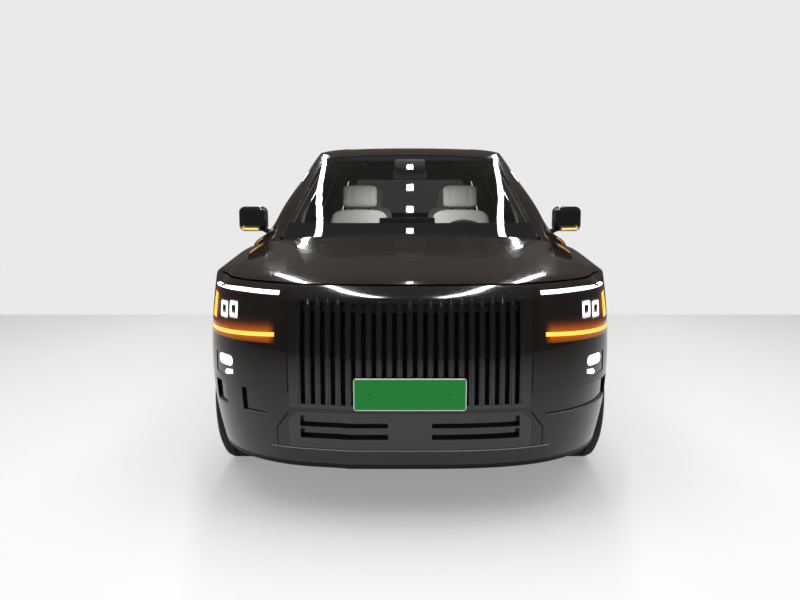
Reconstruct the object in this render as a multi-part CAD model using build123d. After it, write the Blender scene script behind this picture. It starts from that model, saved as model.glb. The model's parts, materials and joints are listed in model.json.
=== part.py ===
from build123d import *
import math
import os
from functools import lru_cache

# A large five-door SUV as separate sub-parts, millimetres, +Z up, facing -Y.
# The origin is on the ground at the centre of the overall box.

# ---- driving dimensions ----
overall_length = 5230
body_width = 2030
roof_height = 1830
wheelbase = 3150
front_overhang = 930        # bumper face to front axle
track = 1720
tyre_radius = 395
tyre_width = 275
rim_radius = 268
rim_barrel = 246            # clear radius inside the rim
arch_radius = 432
liner_radius = 474
liner_wall = 5
cabin_front = 1415          # firewall's rear face, from the bumper face
front_door_edge = 1480      # front shut line of the front door
pillar_b = 2752             # rear shut line of the front door
rear_door_edge = 3868       # rear shut line of the rear door
hood_rear = 1325
tailgate_front = 4712
bumper_split = 560          # front bumper to fender
rear_split = 4560           # rear bumper to quarter panel
sill_bottom = 250
door_bottom = 372
belt = 1200                 # lower edge of the side glass
window_top = 1672
door_top = 1728
widest = 680                # height of the body's widest line
skin = 25
door_depth = 110
pillar_depth = 45
glass_depth = 6
glass_inset = 3
door_gap = 9
panel_gap = 6
door_lean = 0.25            # shut faces lean forward as they go inboard
hinge_x = 993
hinge_setback = 60
hinge_heights = (550, 860)
hinge_pin = 5.5
seat_fit = 0.3              # clearance of fixed pieces in their seats
running = 0.05              # radial clearance of a shaft in its bore
plate_proud = 20
plate_size = (480, 140)
plate_height = 602
grille_half = 525
grille_bottom = 530
grille_top = 990
grille_bars = 23
bar_pitch = 44
bar_width = 23
shoulder = 50               # rounding of the hood and belt edge
kingpin_x = 770
strut_x = 600
strut_radius = 42
steer_limit = 35
bay_half = 486              # half width of the front compartment
sill_width = 110
floor_low = 300
floor_high = 330
battery_half = 720

front = -overall_length / 2 + plate_proud
body_length = overall_length - plate_proud
half_width = body_width / 2
front_axle = front_overhang
rear_axle = front_overhang + wheelbase
wheel_x = track / 2
axle_z = tyre_radius
windshield_rake = 1.79      # run per unit of rise
windshield_low = 1215
cowl_nose = hood_rear + 45  # glass surface at windshield_low
deck_front = 1045
deck_nose = 50                # plan outline at deck level, behind the bumper face
nose_reach = 950
tail_reach = 700
deck_rear = 1222


def at(d):
    # y of a place d millimetres behind the bumper face
    return front + d


def block(x0, x1, d0, d1, z0, z1):
    # box from distances behind the bumper face
    return Pos((x0 + x1) / 2, at((d0 + d1) / 2), (z0 + z1) / 2) * Box(abs(x1 - x0), abs(d1 - d0), abs(z1 - z0))


def soft_block(x0, x1, d0, d1, z0, z1, r):
    s = block(x0, x1, d0, d1, z0, z1)
    return s.fillet(min(r, 0.45 * min(abs(x1 - x0), abs(d1 - d0), abs(z1 - z0))), s.edges())


def face_of(points, r, plane):
    # closed outline with every corner rounded by r, or by its own radius
    pts = [p[:2] for p in points]
    f = Face(Wire.make_polygon([plane.from_local_coords((a, b, 0)) for a, b in pts], close=True))
    if r:
        f = f.fillet_2d(r, f.vertices())
    return f


def side_prism(points, x0, x1, r=0, lean=0.0):
    # outline in (d, z) swept from x0 to x1; lean moves it forward going inboard
    plane = Plane(origin=(x0, 0, 0), x_dir=(0, 1, 0), z_dir=(1, 0, 0))
    f = face_of([(at(d), z) for d, z in points], r, plane)
    return Solid.extrude(f, Vector(x1 - x0, lean * (x1 - x0), 0))


def front_prism(points, d0, d1, r=0):
    # outline in (x, z) swept along the car
    plane = Plane(origin=(0, at(d0), 0), x_dir=(1, 0, 0), z_dir=(0, -1, 0))
    return Solid.extrude(face_of(points, r, plane), Vector(0, d1 - d0, 0))


def top_prism(points, z0, z1, r=0):
    # outline in (x, d) swept upwards
    plane = Plane(origin=(0, 0, z0), x_dir=(1, 0, 0), z_dir=(0, 0, 1))
    return Solid.extrude(face_of([(x, at(d)) for x, d in points], r, plane), Vector(0, 0, z1 - z0))


def both(s):
    # the piece and its mirror image
    return s + s.mirror(Plane.YZ)


def flip(s):
    return s.mirror(Plane.YZ)


def rod(p, q, r):
    # round bar between two points
    a, b = Vector(*p), Vector(*q)
    axis = b - a
    return Plane(origin=a, z_dir=axis) * Cylinder(r, axis.length, align=(Align.CENTER, Align.CENTER, Align.MIN))


def across(x0, x1, d, z, r):
    # cylinder along X
    return rod((x0, at(d), z), (x1, at(d), z), r)


def along(table, z):
    # straight-line interpolation in a short table of (height, value)
    for (a, b), (c, d) in zip(table, table[1:]):
        if z <= c:
            return b + (d - b) * (z - a) / (c - a)
    return table[-1][1]


# ---- outer surfaces ----
def quarter(w, reach, power, n=9):
    # a rounded quarter outline from the centre line to the side
    steps = [math.pi / 2 * i / n for i in range(n + 1)]
    return [(w * math.sin(t) ** (2 / power), reach * math.cos(t) ** (2 / power)) for t in steps]


def half_outline(w, nose, tail, reach_f, reach_r, power):
    # plan points of the right half: rounded nose, straight side, rounded tail
    yf = at(nose) + reach_f
    yr = at(tail) - reach_r
    points = [(x, yf - y) for x, y in quarter(w, reach_f, power)]
    points += [(w, yf + (yr - yf) * i / 4) for i in range(1, 4)]
    return points + [(x, yr + y) for x, y in reversed(quarter(w, reach_r, power))]


@lru_cache(None)
def outline_shares():
    # where each outline point lies along the curve, the same at every level
    points = half_outline(half_width, 0, body_length, nose_reach, tail_reach, 3.0)
    steps = [math.dist(a, b) for a, b in zip(points, points[1:])]
    return [sum(steps[:i]) / sum(steps) for i in range(len(points))]


def plan(z, w, nose, tail, reach_f, reach_r, power):
    # level outline of the body
    half = half_outline(w, nose, tail, reach_f, reach_r, power)
    out, home = Vector(1, 0, 0), Vector(-1, 0, 0)
    shares = outline_shares()
    right = Edge.make_spline([Vector(x, y, z) for x, y in half], tangents=[out, home], parameters=shares)
    left = Edge.make_spline([Vector(-x, y, z) for x, y in reversed(half)], tangents=[home, out],
                            parameters=[1 - t for t in reversed(shares)])
    return Wire([right, left])


def low_half(z):
    # half width of the lower body
    return half_width - (45 * ((widest - z) / 430) ** 2 if z < widest else 30 * ((z - widest) / 470) ** 2)


def low_nose(z):
    return 30 * ((600 - z) / 300) ** 2 if z < 600 else 60 * ((z - 600) / 450) ** 2


def low_tail(z):
    return body_length - (40 * ((600 - z) / 350) ** 2 if z < 600 else 70 * ((z - 600) / 450) ** 2)


def deck_line(d):
    # centre-line height of the hood and belt surface
    if d < hood_rear:
        t = d / hood_rear
        return deck_front + (deck_rear - deck_front) * (1.18 * t - 0.18 * t * t)
    return deck_rear + 0.012 * (d - hood_rear)


def deck_crown(d):
    return 20 + 45 * min(max(d, 0) / hood_rear, 1) ** 1.3


def sheet_above(height, xs, ds, rise):
    # everything above a smooth surface height(x, d)
    pts = [[Vector(x, at(d), height(x, d)) for d in ds] for x in xs]
    return Solid.extrude(Face.make_surface_from_array_of_points(pts, tol=0.5), Vector(0, 0, rise))


def nearness(x, d):
    # 0 on the centre line, 1 on the body's plan outline at deck level
    ahead = max(0, nose_reach - (d - deck_nose)) / nose_reach
    behind = max(0, tail_reach - (body_length - deck_nose - d)) / tail_reach
    return (abs(x) / (half_width - 22)) ** 3 + ahead ** 3 + behind ** 3


def deck_height(x, d):
    # hood and belt surface, rolling over towards the outline
    u = min(nearness(x, d), 1.3)
    return deck_line(d) - deck_crown(d) * (x / half_width) ** 2 - shoulder * u ** 6


@lru_cache(None)
def lower_body(inset):
    levels = [sill_bottom - 20, 330, 480, widest, 860, 1000, 1120, 1290]
    s = Solid.make_loft([plan(z, low_half(z) - inset, low_nose(z) + inset, low_tail(z) - inset,
                              nose_reach - inset, tail_reach - inset, 3.0) for z in levels], False)
    near = [-60, -10, 40, 80, 130, 190, 270, 380, 540, 740, 1000, 1320]
    ds = near + [1320 + i * (body_length - 2640) / 5 for i in range(1, 5)] + [body_length - d for d in near[::-1]]
    share = [0, 0.25, 0.48, 0.66, 0.78, 0.86, 0.92, 0.97, 1.03]
    xs = [-half_width * t for t in share[:0:-1]] + [half_width * t for t in share]
    return (s - sheet_above(lambda x, d: deck_height(x, d) - inset, xs, ds, 700)).solids()[0]


join_z = 1130                   # the cabin's walls are made below and above this level
join_step = 2                   # crease along the sides at that level
upper_inner = 862               # widest half width inside the walls above it
# height, half width, tail inset and tail reach of the upper body
upper_table = [(join_z, None, None, tail_reach), (1160, 979, 112, 640), (1180, 960, 132, 560), (1200, 934, 162, 480),
               (1215, 920, 184, 430), (1350, 872, 247, 330), (1500, 815, 314, 260), (1650, 752, 380, 250),
               (1745, 712, 423, 250), (1785, 690, 441, 250), (1830, 642, 461, 250), (1875, 560, 481, 250)]
upper_table[0] = (join_z, low_half(join_z) - join_step, body_length - low_tail(join_z) + join_step, tail_reach)
roof_table = [(row[0], row[1]) for row in upper_table]


def roof_line(d):
    # centre-line height of the roof, running down straight ahead of the windshield's top
    crest = 2900
    fall = 85
    if d >= crest:
        return roof_height - fall * ((d - crest) / 1840) ** 2
    t = (crest - d) / 550
    knee = 1.05
    if t < knee:
        return roof_height - fall * t ** 2.5
    return roof_height - fall * (knee ** 2.5 + 2.5 * knee ** 1.5 * (t - knee))


def glass_nose(z):
    return cowl_nose + windshield_rake * (z - windshield_low)


@lru_cache(None)
def upper_body(inset):
    s = Solid.make_loft([plan(z, min(w - inset, upper_inner) if inset > 20 else w - inset, glass_nose(z) + inset * 1.9,
                              body_length - tail - inset, 350, reach, 3.0)
                         for z, w, tail, reach in upper_table], False)
    ds = [1750 + i * 200 for i in range(19)]
    xs = [-900 + i * 180 for i in range(11)]

    def height(x, d):
        return roof_line(d) - 14 * (x / 600) ** 2 - 18 * (x / 690) ** 8 - inset
    return main_solid(s - sheet_above(height, xs, ds, 900))


def above_shut(gap=0):
    # everything above the hood's shut surface, which rises gently to the rear
    rise = 0.036
    z0 = deck_front + gap
    return side_prism([(-300, z0 - 300 * rise), (2000, z0 + 2000 * rise), (2000, 2000), (-300, 2000)],
                      -half_width - 200, half_width + 200)


@lru_cache(None)
def front_body(inset):
    return main_solid(lower_body(inset) & block(-1200, 1200, -100, cabin_front + 10, 100, 1500))


@lru_cache(None)
def front_skin(depth):
    return main_solid(front_body(0) - front_body(depth))


@lru_cache(None)
def rear_skin(depth):
    zone = block(-1200, 1200, rear_axle, body_length + 100, 100, 1500)
    return main_solid((lower_body(0) & zone) - (lower_body(depth) & zone))


@lru_cache(None)
def glass_layer():
    return main_solid(upper_body(glass_inset) - upper_body(glass_inset + glass_depth))


def main_solid(s):
    return s.solids().sort_by(lambda p: -p.volume)[0]


@lru_cache(None)
def low_wall():
    # left wall and tail below the belt
    inset = door_depth
    levels = [floor_high, 480, widest, 860, 1000, join_z, 1180]
    void = Solid.make_loft([plan(z, low_half(z) - inset, low_nose(z) + inset, low_tail(z) - inset,
                                 nose_reach - inset, tail_reach - inset, 3.0) for z in levels], False)
    void = main_solid(void - block(800, 1200, -100, front_door_edge + 30, 0, 1200))
    s = lower_body(0) & block(0, 1200, cabin_front, body_length + 100, 100, join_z)
    return main_solid(s - void - block(-10, 800, 1000, 5080, 0, floor_high))


@lru_cache(None)
def high_wall():
    # left half of the wall and roof above the belt
    s = upper_body(0) & block(0, 1200, cabin_front - 47, body_length + 100, join_z, 1900)
    return main_solid(s - upper_body(pillar_depth))


def wall(zone):
    # the part of the body wall inside a zone
    return main_solid(main_solid(low_wall() & zone) + main_solid(high_wall() & zone))


def skin_x(z):
    return low_half(z) if z < join_z else along(roof_table, z)


def leaned(points, x0):
    # places an outline on the plane x0 so that it shows at the given (d, z) on the outer surface
    return [(d + door_lean * (x0 - skin_x(z)), z) for d, z in points]


outer_x = half_width + 60
inner_x = 620


def grown_prism(points, x0, x1, grow, r, lean):
    # outline in (d, z), grown outwards, swept from x0 to x1
    plane = Plane(origin=(x0, 0, 0), x_dir=(0, 1, 0), z_dir=(1, 0, 0))
    f = face_of([(at(d), z) for d, z in points], r, plane)
    if grow:
        f = Face(f.outer_wire().offset_2d(grow, kind=Kind.ARC))
    return Solid.extrude(f, Vector(x1 - x0, lean * (x1 - x0), 0))


def disc(d, z, r, x0, x1, lean=0.0):
    plane = Plane(origin=(x0, at(d), z), x_dir=(0, 1, 0), z_dir=(1, 0, 0))
    return Solid.extrude(Face(Wire.make_circle(r, plane)), Vector(x1 - x0, lean * (x1 - x0), 0))


# ---- door outlines, as seen from the side ----
rear_door_front = pillar_b + door_gap
frame_width = 48
sash_rise = (door_top - belt) / 930             # slope of the front window post
front_door = [(front_door_edge, door_bottom), (pillar_b, door_bottom), (pillar_b, door_top),
              (front_door_edge + 80 + 930, door_top), (front_door_edge + 80, belt - 8), (front_door_edge, belt - 52)]
rear_door = [(rear_door_front, door_bottom), (rear_door_edge, door_bottom), (rear_door_edge, door_top - 60),
             (rear_door_edge - 50, door_top), (rear_door_front, door_top)]
front_window = [(front_door_edge + 80 + 92, belt), (pillar_b - 62, belt), (pillar_b - 62, window_top),
                (front_door_edge + 80 + 92 + (window_top - belt) / sash_rise, window_top)]
rear_window = [(rear_door_front + 62, belt), (rear_door_edge - frame_width, belt),
               (rear_door_edge - frame_width, window_top - 40), (rear_door_edge - frame_width - 40, window_top),
               (rear_door_front + 62, window_top)]
quarter_window = [(rear_door_edge + 78, belt), (rear_axle + 540, belt + 12), (rear_axle + 400, window_top - 12),
                  (rear_door_edge + 78, window_top)]
windshield_edge = [(-800, 1172), (-400, 1197), (0, 1206), (400, 1197), (800, 1172),
                   (636, 1722), (330, 1743), (0, 1749), (-330, 1743), (-636, 1722)]


def opening_of(door_points, grow):
    extra = door_gap - panel_gap
    low = min(d for d, z in door_points)
    pts = [(d - extra if d == low else d, z) for d, z in door_points]
    return grown_prism(leaned(pts, outer_x), outer_x, inner_x, grow, 12, door_lean)


def door_block(door_points):
    return grown_prism(leaned(door_points, outer_x), outer_x, inner_x, 0, 12, door_lean)


def rear_door_arch(grow):
    # the rear door and its opening follow the wheel arch
    r = arch_radius + 58 - grow
    return disc(rear_axle + door_lean * (outer_x - half_width), axle_z, r, outer_x, inner_x, door_lean)


@lru_cache(None)
def front_opening():
    return opening_of(front_door, panel_gap)


@lru_cache(None)
def rear_opening():
    return opening_of(rear_door, panel_gap) - rear_door_arch(panel_gap)


def hinge_axis(door_points):
    return min(d for d, z in door_points) + hinge_setback


def hinge_leaves(door_points):
    # two straps from the inner pillar to the door's pins
    d = hinge_axis(door_points)
    out = []
    for z in hinge_heights:
        arm = block(hinge_x - 160, hinge_x, d - 7, d + 7, z - 18, z + 18)
        eye = Pos(hinge_x, at(d), z) * Cylinder(9, 36)
        out.append(arm + eye - Pos(hinge_x, at(d), z) * Cylinder(hinge_pin + running, 60))
    return out


def hinge_notches(door_points):
    d0 = min(d for d, z in door_points)
    d = hinge_axis(door_points)
    return [block(hinge_x - 150, hinge_x + 10.5, d0 - 60, d + 100, z - 26, z + 26) for z in hinge_heights]


def door_shell(door_points, window_points, arch=False):
    zone = door_block(door_points)
    if arch:
        zone = zone - rear_door_arch(0)
    s = wall(zone) - block(600, 800, 1300, front_door_edge + 80, join_z - 10, belt + 60)
    for n in hinge_notches(door_points):
        s = s - n
    s = main_solid(s)
    for z in hinge_heights:
        s = s + Pos(hinge_x, at(hinge_axis(door_points)), z) * Cylinder(hinge_pin, 60)
    return main_solid(s - window_cut(window_points))


def window_cut(points, lean=True):
    # glass seat near the outer surface and the smaller clear opening behind it
    tilt = door_lean if lean else 0.0
    pts = leaned(points, outer_x) if lean else points
    seat = grown_prism(pts, outer_x, inner_x, seat_fit, 30, tilt)
    clear = grown_prism(pts, outer_x, inner_x - 40, -18, 30, tilt)
    return seat - upper_body(glass_inset + glass_depth + seat_fit) + clear


def window_glass(points, lean=True):
    tilt = door_lean if lean else 0.0
    pts = leaned(points, outer_x) if lean else points
    return main_solid(glass_layer() & grown_prism(pts, outer_x, inner_x, 0, 30, tilt))


# ---- body in white ----
roof_half = 575
hatch = [(-782, 622), (782, 622), (782, 1150), (640, 1700), (600, 1790), (600, 1900),
         (-600, 1900), (-600, 1790), (-640, 1700), (-782, 1150)]
hatch_glass = [(-690, 1262), (690, 1262), (590, 1655), (-590, 1655)]
lamp_edge = [(558, 805), (1100, 795), (1100, 1200), (558, 1200)]
lamp_side = [(-200, 500), (418, 500), (446, 1200), (-200, 1200)]
pillar_half = [(850, floor_high), (868, 480), (875, widest), (868, 900), (845, 1090), (835, 1215), (798, 1350),
               (745, 1500), (686, 1650), (650, 1768)]


def inner_pillar(d0, d1, z_top):
    pts = [p for p in pillar_half if p[1] < z_top]
    pts.append((along([(z, x) for x, z in pillar_half], z_top), z_top))
    inner = [(x - 45, z) for x, z in reversed(pts)]
    foot = block(800, 900, d0, d1, floor_high, door_bottom - 8)
    return front_prism(pts + inner, d0, d1) + foot


def arch(d, x0=640):
    return across(x0, half_width + 40, d, axle_z, arch_radius)


@lru_cache(None)
def windshield_hole():
    seat = front_prism(windshield_edge, 1100, 2500, 40)
    seat = Face(seat.faces().sort_by(Axis.Y)[0].outer_wire().offset_2d(seat_fit, kind=Kind.ARC))
    seat = Solid.extrude(seat, Vector(0, 1400, 0))
    lip = Face(seat.faces().sort_by(Axis.Y)[0].outer_wire().offset_2d(-20, kind=Kind.ARC))
    lip = Solid.extrude(lip, Vector(0, 1400, 0))
    return (seat - upper_body(glass_inset + glass_depth + seat_fit)) + lip


def windshield():
    pane = front_prism(windshield_edge, 1100, 2500, 40)
    return main_solid(glass_layer() & pane)


def hatch_block(grow):
    # the tailgate's zone, or with grow its opening, which also clears its front face
    start = tailgate_front - grow
    f = front_prism(hatch, start, body_length + 100)
    if grow:
        w = f.faces().sort_by(Axis.Y)[0].outer_wire().offset_2d(grow, kind=Kind.ARC)
        f = Solid.extrude(Face(w), Vector(0, body_length + 100 - start, 0))
        f = f + block(-600 - grow, 600 + grow, tailgate_front - roof_gap, tailgate_front + 10, 1500, 1900)
    return f


roof_gap = 13


def rear_lamp_band(x0, x1, d0):
    return block(x0, x1, d0, body_length + 50, 985, 1045)


def roof_frame():
    s = high_wall() & block(0, roof_half, 2150, tailgate_front - roof_gap, 1640, 1900)
    s = main_solid(both(main_solid(s)))
    s = s - windshield_hole()
    glass_area = top_prism(roof_glass_edge, 1500, 1900, 60)
    rim = top_prism([(x * 0.955, d + (22 if d < 3000 else -22)) for x, d in roof_glass_edge], 1500, 1900, 50)
    s = s - (glass_area - upper_body(glass_inset + glass_depth + seat_fit)) - rim
    s = main_solid(s)
    for x in (-tail_hinge_x, tail_hinge_x):
        s = s + tail_hinge_strap(x)
    return s


roof_glass_edge = [(-470, 2560), (470, 2560), (470, 4080), (-470, 4080)]
tail_hinge_x = 440
tail_pin = 6
strap_drop = 62             # clears the open tailgate's front edge
strap_thickness = 12
tail_axis_d = tailgate_front + 45
tail_axis_z = roof_line(tail_axis_d) - 14 * (tail_hinge_x / 600) ** 2 - 19


def tail_hinge_strap(x):
    d, z = tail_axis_d, tail_axis_z
    s = across(x - 12, x + 12, d, z, 9)
    s = s + block(x - 12, x + 12, d - 7, d + 7, z - strap_drop, z)
    s = s + block(x - 12, x + 12, d - 125, d + 7, z - strap_drop, z - strap_drop + strap_thickness)
    s = s + block(x - 12, x + 12, d - 125, d - 85, z - strap_drop, z - 5)
    return s - across(x - 20, x + 20, d, z, tail_pin + running)


def roof_glass():
    pane = top_prism([(x - math.copysign(seat_fit, x), d + (seat_fit if d < 3000 else -seat_fit))
                      for x, d in roof_glass_edge], 1500, 1900, 60)
    return main_solid(glass_layer() & pane)


def side_frame():
    low = main_solid(low_wall() - block(-10, 1200, 1300, body_length + 50, 0, sill_bottom))
    low = main_solid(low - arch(rear_axle))
    low = low - hatch_block(panel_gap) - rear_bumper_zone()
    low = main_solid(low - rear_lamp_band(782 + panel_gap, 1100, rear_axle + 700))
    high = high_wall() - block(-10, roof_half, 2150, tailgate_front + 5, 1640, 1900)
    high = main_solid(high - windshield_hole() - hatch_block(panel_gap))
    high = main_solid(high - window_cut(quarter_window, False))
    s = low + high
    s = s + inner_pillar(front_door_edge - 45, front_door_edge + 95, 1095)
    s = s + inner_pillar(pillar_b - 60, pillar_b + 96, 1768)
    s = main_solid(s - front_opening())
    s = main_solid(s - rear_opening())
    for leaf in hinge_leaves(front_door) + hinge_leaves(rear_door):
        s = s + leaf
    return main_solid(s - hood_arm_pocket())


def rear_bumper_zone():
    # the right half is the left one mirrored, so both meet the body sides alike
    half = rear_skin(skin) & block(0, 1100, rear_split, body_length + 50, 0, 616)
    return both(main_solid(half))


def rear_bumper():
    s = rear_bumper_zone() - block(-1100, 1100, 0, body_length + 50, 0, sill_bottom)
    return main_solid(s - both(arch(rear_axle)))


def rear_floor_line():
    return 560, 590


def floor_pan():
    low, high = rear_floor_line()
    step = rear_axle - 580
    s = block(-800, 800, cabin_front, step, floor_low, floor_high)
    s = s + block(-655, 655, step - 30, step, floor_low, high)
    s = s + (block(-655, 655, step, 5070, low, high) & lower_body(door_depth + seat_fit))
    s = s + both(block(655, 800, step - 30, step, floor_low, floor_high))
    return s


def wheelhouse_liner(d, x0, x1, r):
    s = across(x0, x1, d, axle_z, r + liner_wall) - across(x0 - 10, x1 + 10, d, axle_z, r)
    return s & block(0, 1100, d - r - 20, d + r + 20, floor_high, 1100)


def arch_liners():
    # trimmed to the skin, the firewall and the body sides, with a hole for each strut
    fr = wheelhouse_liner(front_axle, bay_half + 20, 940, liner_radius)
    fr = fr & front_body(skin + seat_fit) & block(0, 1100, 0, cabin_front - 10 - seat_fit, 0, 1100)
    fr = fr - rod((strut_x, at(front_axle), 700), (strut_x, at(front_axle), 1000), strut_radius + seat_fit)
    rr = wheelhouse_liner(rear_axle, 655, 900, arch_radius + 2)
    rr = rr + (across(655, 661, rear_axle, axle_z, arch_radius + 3) & block(0, 1100, 3000, 5000, floor_high, 1000))
    rr = rr & lower_body(door_depth + seat_fit)
    return both(main_solid(fr)) + both(main_solid(rr))


def front_structure():
    side_wall = block(bay_half - 16, bay_half, 430, cabin_front - 10, 300, 912)
    shelf = (front_body(skin + 0.3) & block(bay_half - 16, 1100, 470, cabin_front - 1, 900, 912))
    s = both(side_wall + shelf)
    s = s + block(-800, 800, cabin_front - 10, cabin_front, floor_low, 1120)
    s = s + block(-760, 760, cabin_front - 47, cabin_front, 1100, 1120)
    s = s + block(-bay_half, bay_half, 430, 460, 340, 780)
    s = s + block(-600, 600, 135, 185, 520, 620)
    s = s + both(block(400, 470, 180, 435, 530, 610))
    s = s + both(hood_bracket())
    return s


hood_axis = (1400, 1150)
hood_pin = 6
hood_pin_x = 780


def hood_arm_pocket():
    # room in the body side for the hood's arm and its bracket
    return block(hood_pin_x - 36, hood_pin_x + 26, cabin_front - 60, hood_axis[0] + 26, join_z - 4, hood_axis[1] + 46)


def hood_bracket():
    d, z = hood_axis
    s = block(hood_pin_x - 22, hood_pin_x - 8, d - 12, d + 12, 1100, z + 10)
    return s + across(hood_pin_x - 10, hood_pin_x + 12, d, z, hood_pin)


def hood():
    s = front_skin(skin) & above_shut(panel_gap)
    s = main_solid(s & block(-1200, 1200, -100, hood_rear, 1000, 1400))
    d, z = hood_axis
    x0, x1 = hood_pin_x - 6, hood_pin_x + 6
    arm = block(x0, x1, hood_rear - 90, hood_rear - 14, 1128, 1165)
    arm = arm + block(x0, x1, hood_rear - 30, d, z - 10, z + 8)
    arm = arm + across(x0, x1, d, z, 14) - across(x0 - 20, x1 + 20, d, z, hood_pin + running)
    return s + both(arm)


def cowl():
    s = (front_body(35) - front_body(55)) & block(-740, 740, 1285, cabin_front - 47, 1000, 1300)
    return main_solid(s)


def wipers():
    top = deck_line(1345) - 35
    out = []
    for x0, x1 in ((-560, 60), (90, 690)):
        z0 = top - 55 * (x0 / half_width) ** 2
        z1 = top - 55 * (x1 / half_width) ** 2
        out.append(rod((x0, at(1342), z0 + 10), (x1, at(1342), z1 + 10), 5))
    return out[0] + out[1]


# ---- front panels ----
grille_edge = [(-grille_half, grille_bottom), (grille_half, grille_bottom), (grille_half, 1300), (-grille_half, 1300)]
lower_panel = [(-grille_half - 5, 345), (grille_half + 5, 345), (grille_half + 5, 470), (grille_half - 40, 512),
               (40 - grille_half, 512), (-grille_half - 5, 470)]


def front_zone():
    return block(-1200, 1200, -100, bumper_split, 0, 1400) - above_shut()


def lamp_block():
    return front_prism(lamp_edge, -100, 600) & side_prism(lamp_side, 300, 1200)


def fog_block():
    return front_prism([(792, 640), (800, 728), (911, 722), (911, 628), (846, 616)], -100, 500)


def grille_zone():
    return front_prism(grille_edge, -100, 200) - above_shut()


def grille():
    s = main_solid(front_skin(pillar_depth) & grille_zone())
    gap = bar_pitch - bar_width
    slots = []
    for i in range(grille_bars - 1):
        x = (i - (grille_bars - 2) / 2) * bar_pitch
        slots.append(block(x - gap / 2, x + gap / 2, -100, 200, grille_bottom + 18, grille_top))
    back = front_body(33) & block(-grille_half, grille_half, -100, 260, grille_bottom, grille_top + 10)
    for x in (-plate_holes / 2, plate_holes / 2):
        s = s - across_y(x, plate_height, -30, 90, 3.25)
    for slot in slots:
        s = s - (slot - back)
    return main_solid(s)


def lower_grille():
    s = main_solid(front_skin(pillar_depth - 10) & front_prism(lower_panel, -100, 150))
    for x0 in (-478, 95):
        hole = front_prism([(x0, 392), (x0 + 383, 392), (x0 + 383, 495), (x0, 495)], -100, 150)
        bar = front_prism([(x0, 437), (x0 + 383, 437), (x0 + 383, 446), (x0, 446)], -100, 150)
        s = s - ((hole - bar) & front_skin(25))
    return main_solid(s)


def side_pocket():
    return front_prism([(548, 604), (640, 594), (952, 588), (952, 484), (600, 484)], -100, 500)


def front_bumper():
    s = front_skin(skin) & front_zone()
    s = s - block(-1200, 1200, -100, bumper_split, 0, 320)
    s = s - front_prism(grille_edge, -100, 200) - front_prism(lower_panel, -100, 150)
    s = s - both(lamp_block()) - both(fog_block()) - both(side_pocket() & front_skin(12))
    s = s - both(arch(front_axle))
    return s


def front_skirt():
    s = front_skin(skin) & block(-1200, 1200, -100, bumper_split, sill_bottom, 320)
    return s - both(arch(front_axle))


def fenders():
    s = front_skin(skin) & (block(-1200, 1200, bumper_split, cabin_front, sill_bottom, 1400) - above_shut())
    return s - both(arch(front_axle)) - both(lamp_block())


def headlamps():
    s = front_skin(60) & (both(lamp_block()) - above_shut())
    return s


def lower_lamps():
    return (front_body(3) - front_body(45)) & both(fog_block())


def front_plate():
    w, h = plate_size
    z = plate_height
    s = soft_plate(w, h, at(-plate_proud), 8, z)
    holes = [across_y(x, z, -plate_proud - 5, 30, 3.25) for x in (-plate_holes / 2, plate_holes / 2)]
    bracket = block(-w / 2 + 30, w / 2 - 30, -plate_proud + 8, low_nose(z) + 6, z - h / 2 + 15, z + h / 2 - 15)
    return (s + (bracket - lower_body(0))) - holes[0] - holes[1]


plate_holes = 340


def across_y(x, z, d0, d1, r):
    return rod((x, at(d0), z), (x, at(d1), z), r)


def soft_plate(w, h, y, t, z):
    return extrude(Plane(origin=(0, y, z), x_dir=(1, 0, 0), z_dir=(0, -1, 0)) * RectangleRounded(w, h, 12), -t)


# ---- tailgate ----
def tailgate():
    s = main_solid(both(wall(hatch_block(0))))
    s = s - rear_lamp_band(-774, 774, rear_axle + 700)
    pane = front_prism(hatch_glass, tailgate_front, body_length + 100, 40)
    rim = front_prism([(x * 0.96, z + (18 if z < 1400 else -18)) for x, z in hatch_glass], tailgate_front,
                      body_length + 100, 30)
    s = s - (pane - upper_body(glass_inset + glass_depth + seat_fit)) - rim
    for x in (-tail_hinge_x, tail_hinge_x):
        s = s - block(x - 18, x + 18, tailgate_front - 20, tail_axis_d + 10, tail_axis_z - 100, tail_axis_z + 11)
    s = main_solid(s)
    for x in (-tail_hinge_x, tail_hinge_x):
        s = s + across(x - 19, x + 19, tail_axis_d, tail_axis_z, tail_pin)
    for x in (-rear_plate_holes / 2, rear_plate_holes / 2):
        s = s - rod((x, at(body_length) - 60, 840), (x, at(body_length) + 20, 840), 3.25)
    return main_solid(s - both(front_prism(tailgate_relief, tailgate_front - 20, body_length + 100)))


# narrows the tailgate above its shoulder, so that its corners clear the body sides as it rises
tailgate_relief = [(774, 1090), (900, 1090), (900, 1950), (592, 1950), (592, 1790), (632, 1700), (774, 1150)]


rear_plate_holes = 340


def tailgate_glass():
    pane = front_prism([(x - math.copysign(seat_fit, x), z + (seat_fit if z < 1400 else -seat_fit))
                        for x, z in hatch_glass], tailgate_front, body_length + 100, 40)
    return main_solid(glass_layer() & pane)


def tail_lamp_bar():
    return main_solid(rear_skin(door_depth) & rear_lamp_band(-774, 774, rear_axle + 700) & hatch_block(0))


def tail_lamps():
    return (rear_skin(door_depth) & rear_lamp_band(782 + panel_gap, 1100, rear_axle + 700)
            & block(0, 1100, rear_axle + 700, body_length, 0, 1200))


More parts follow.
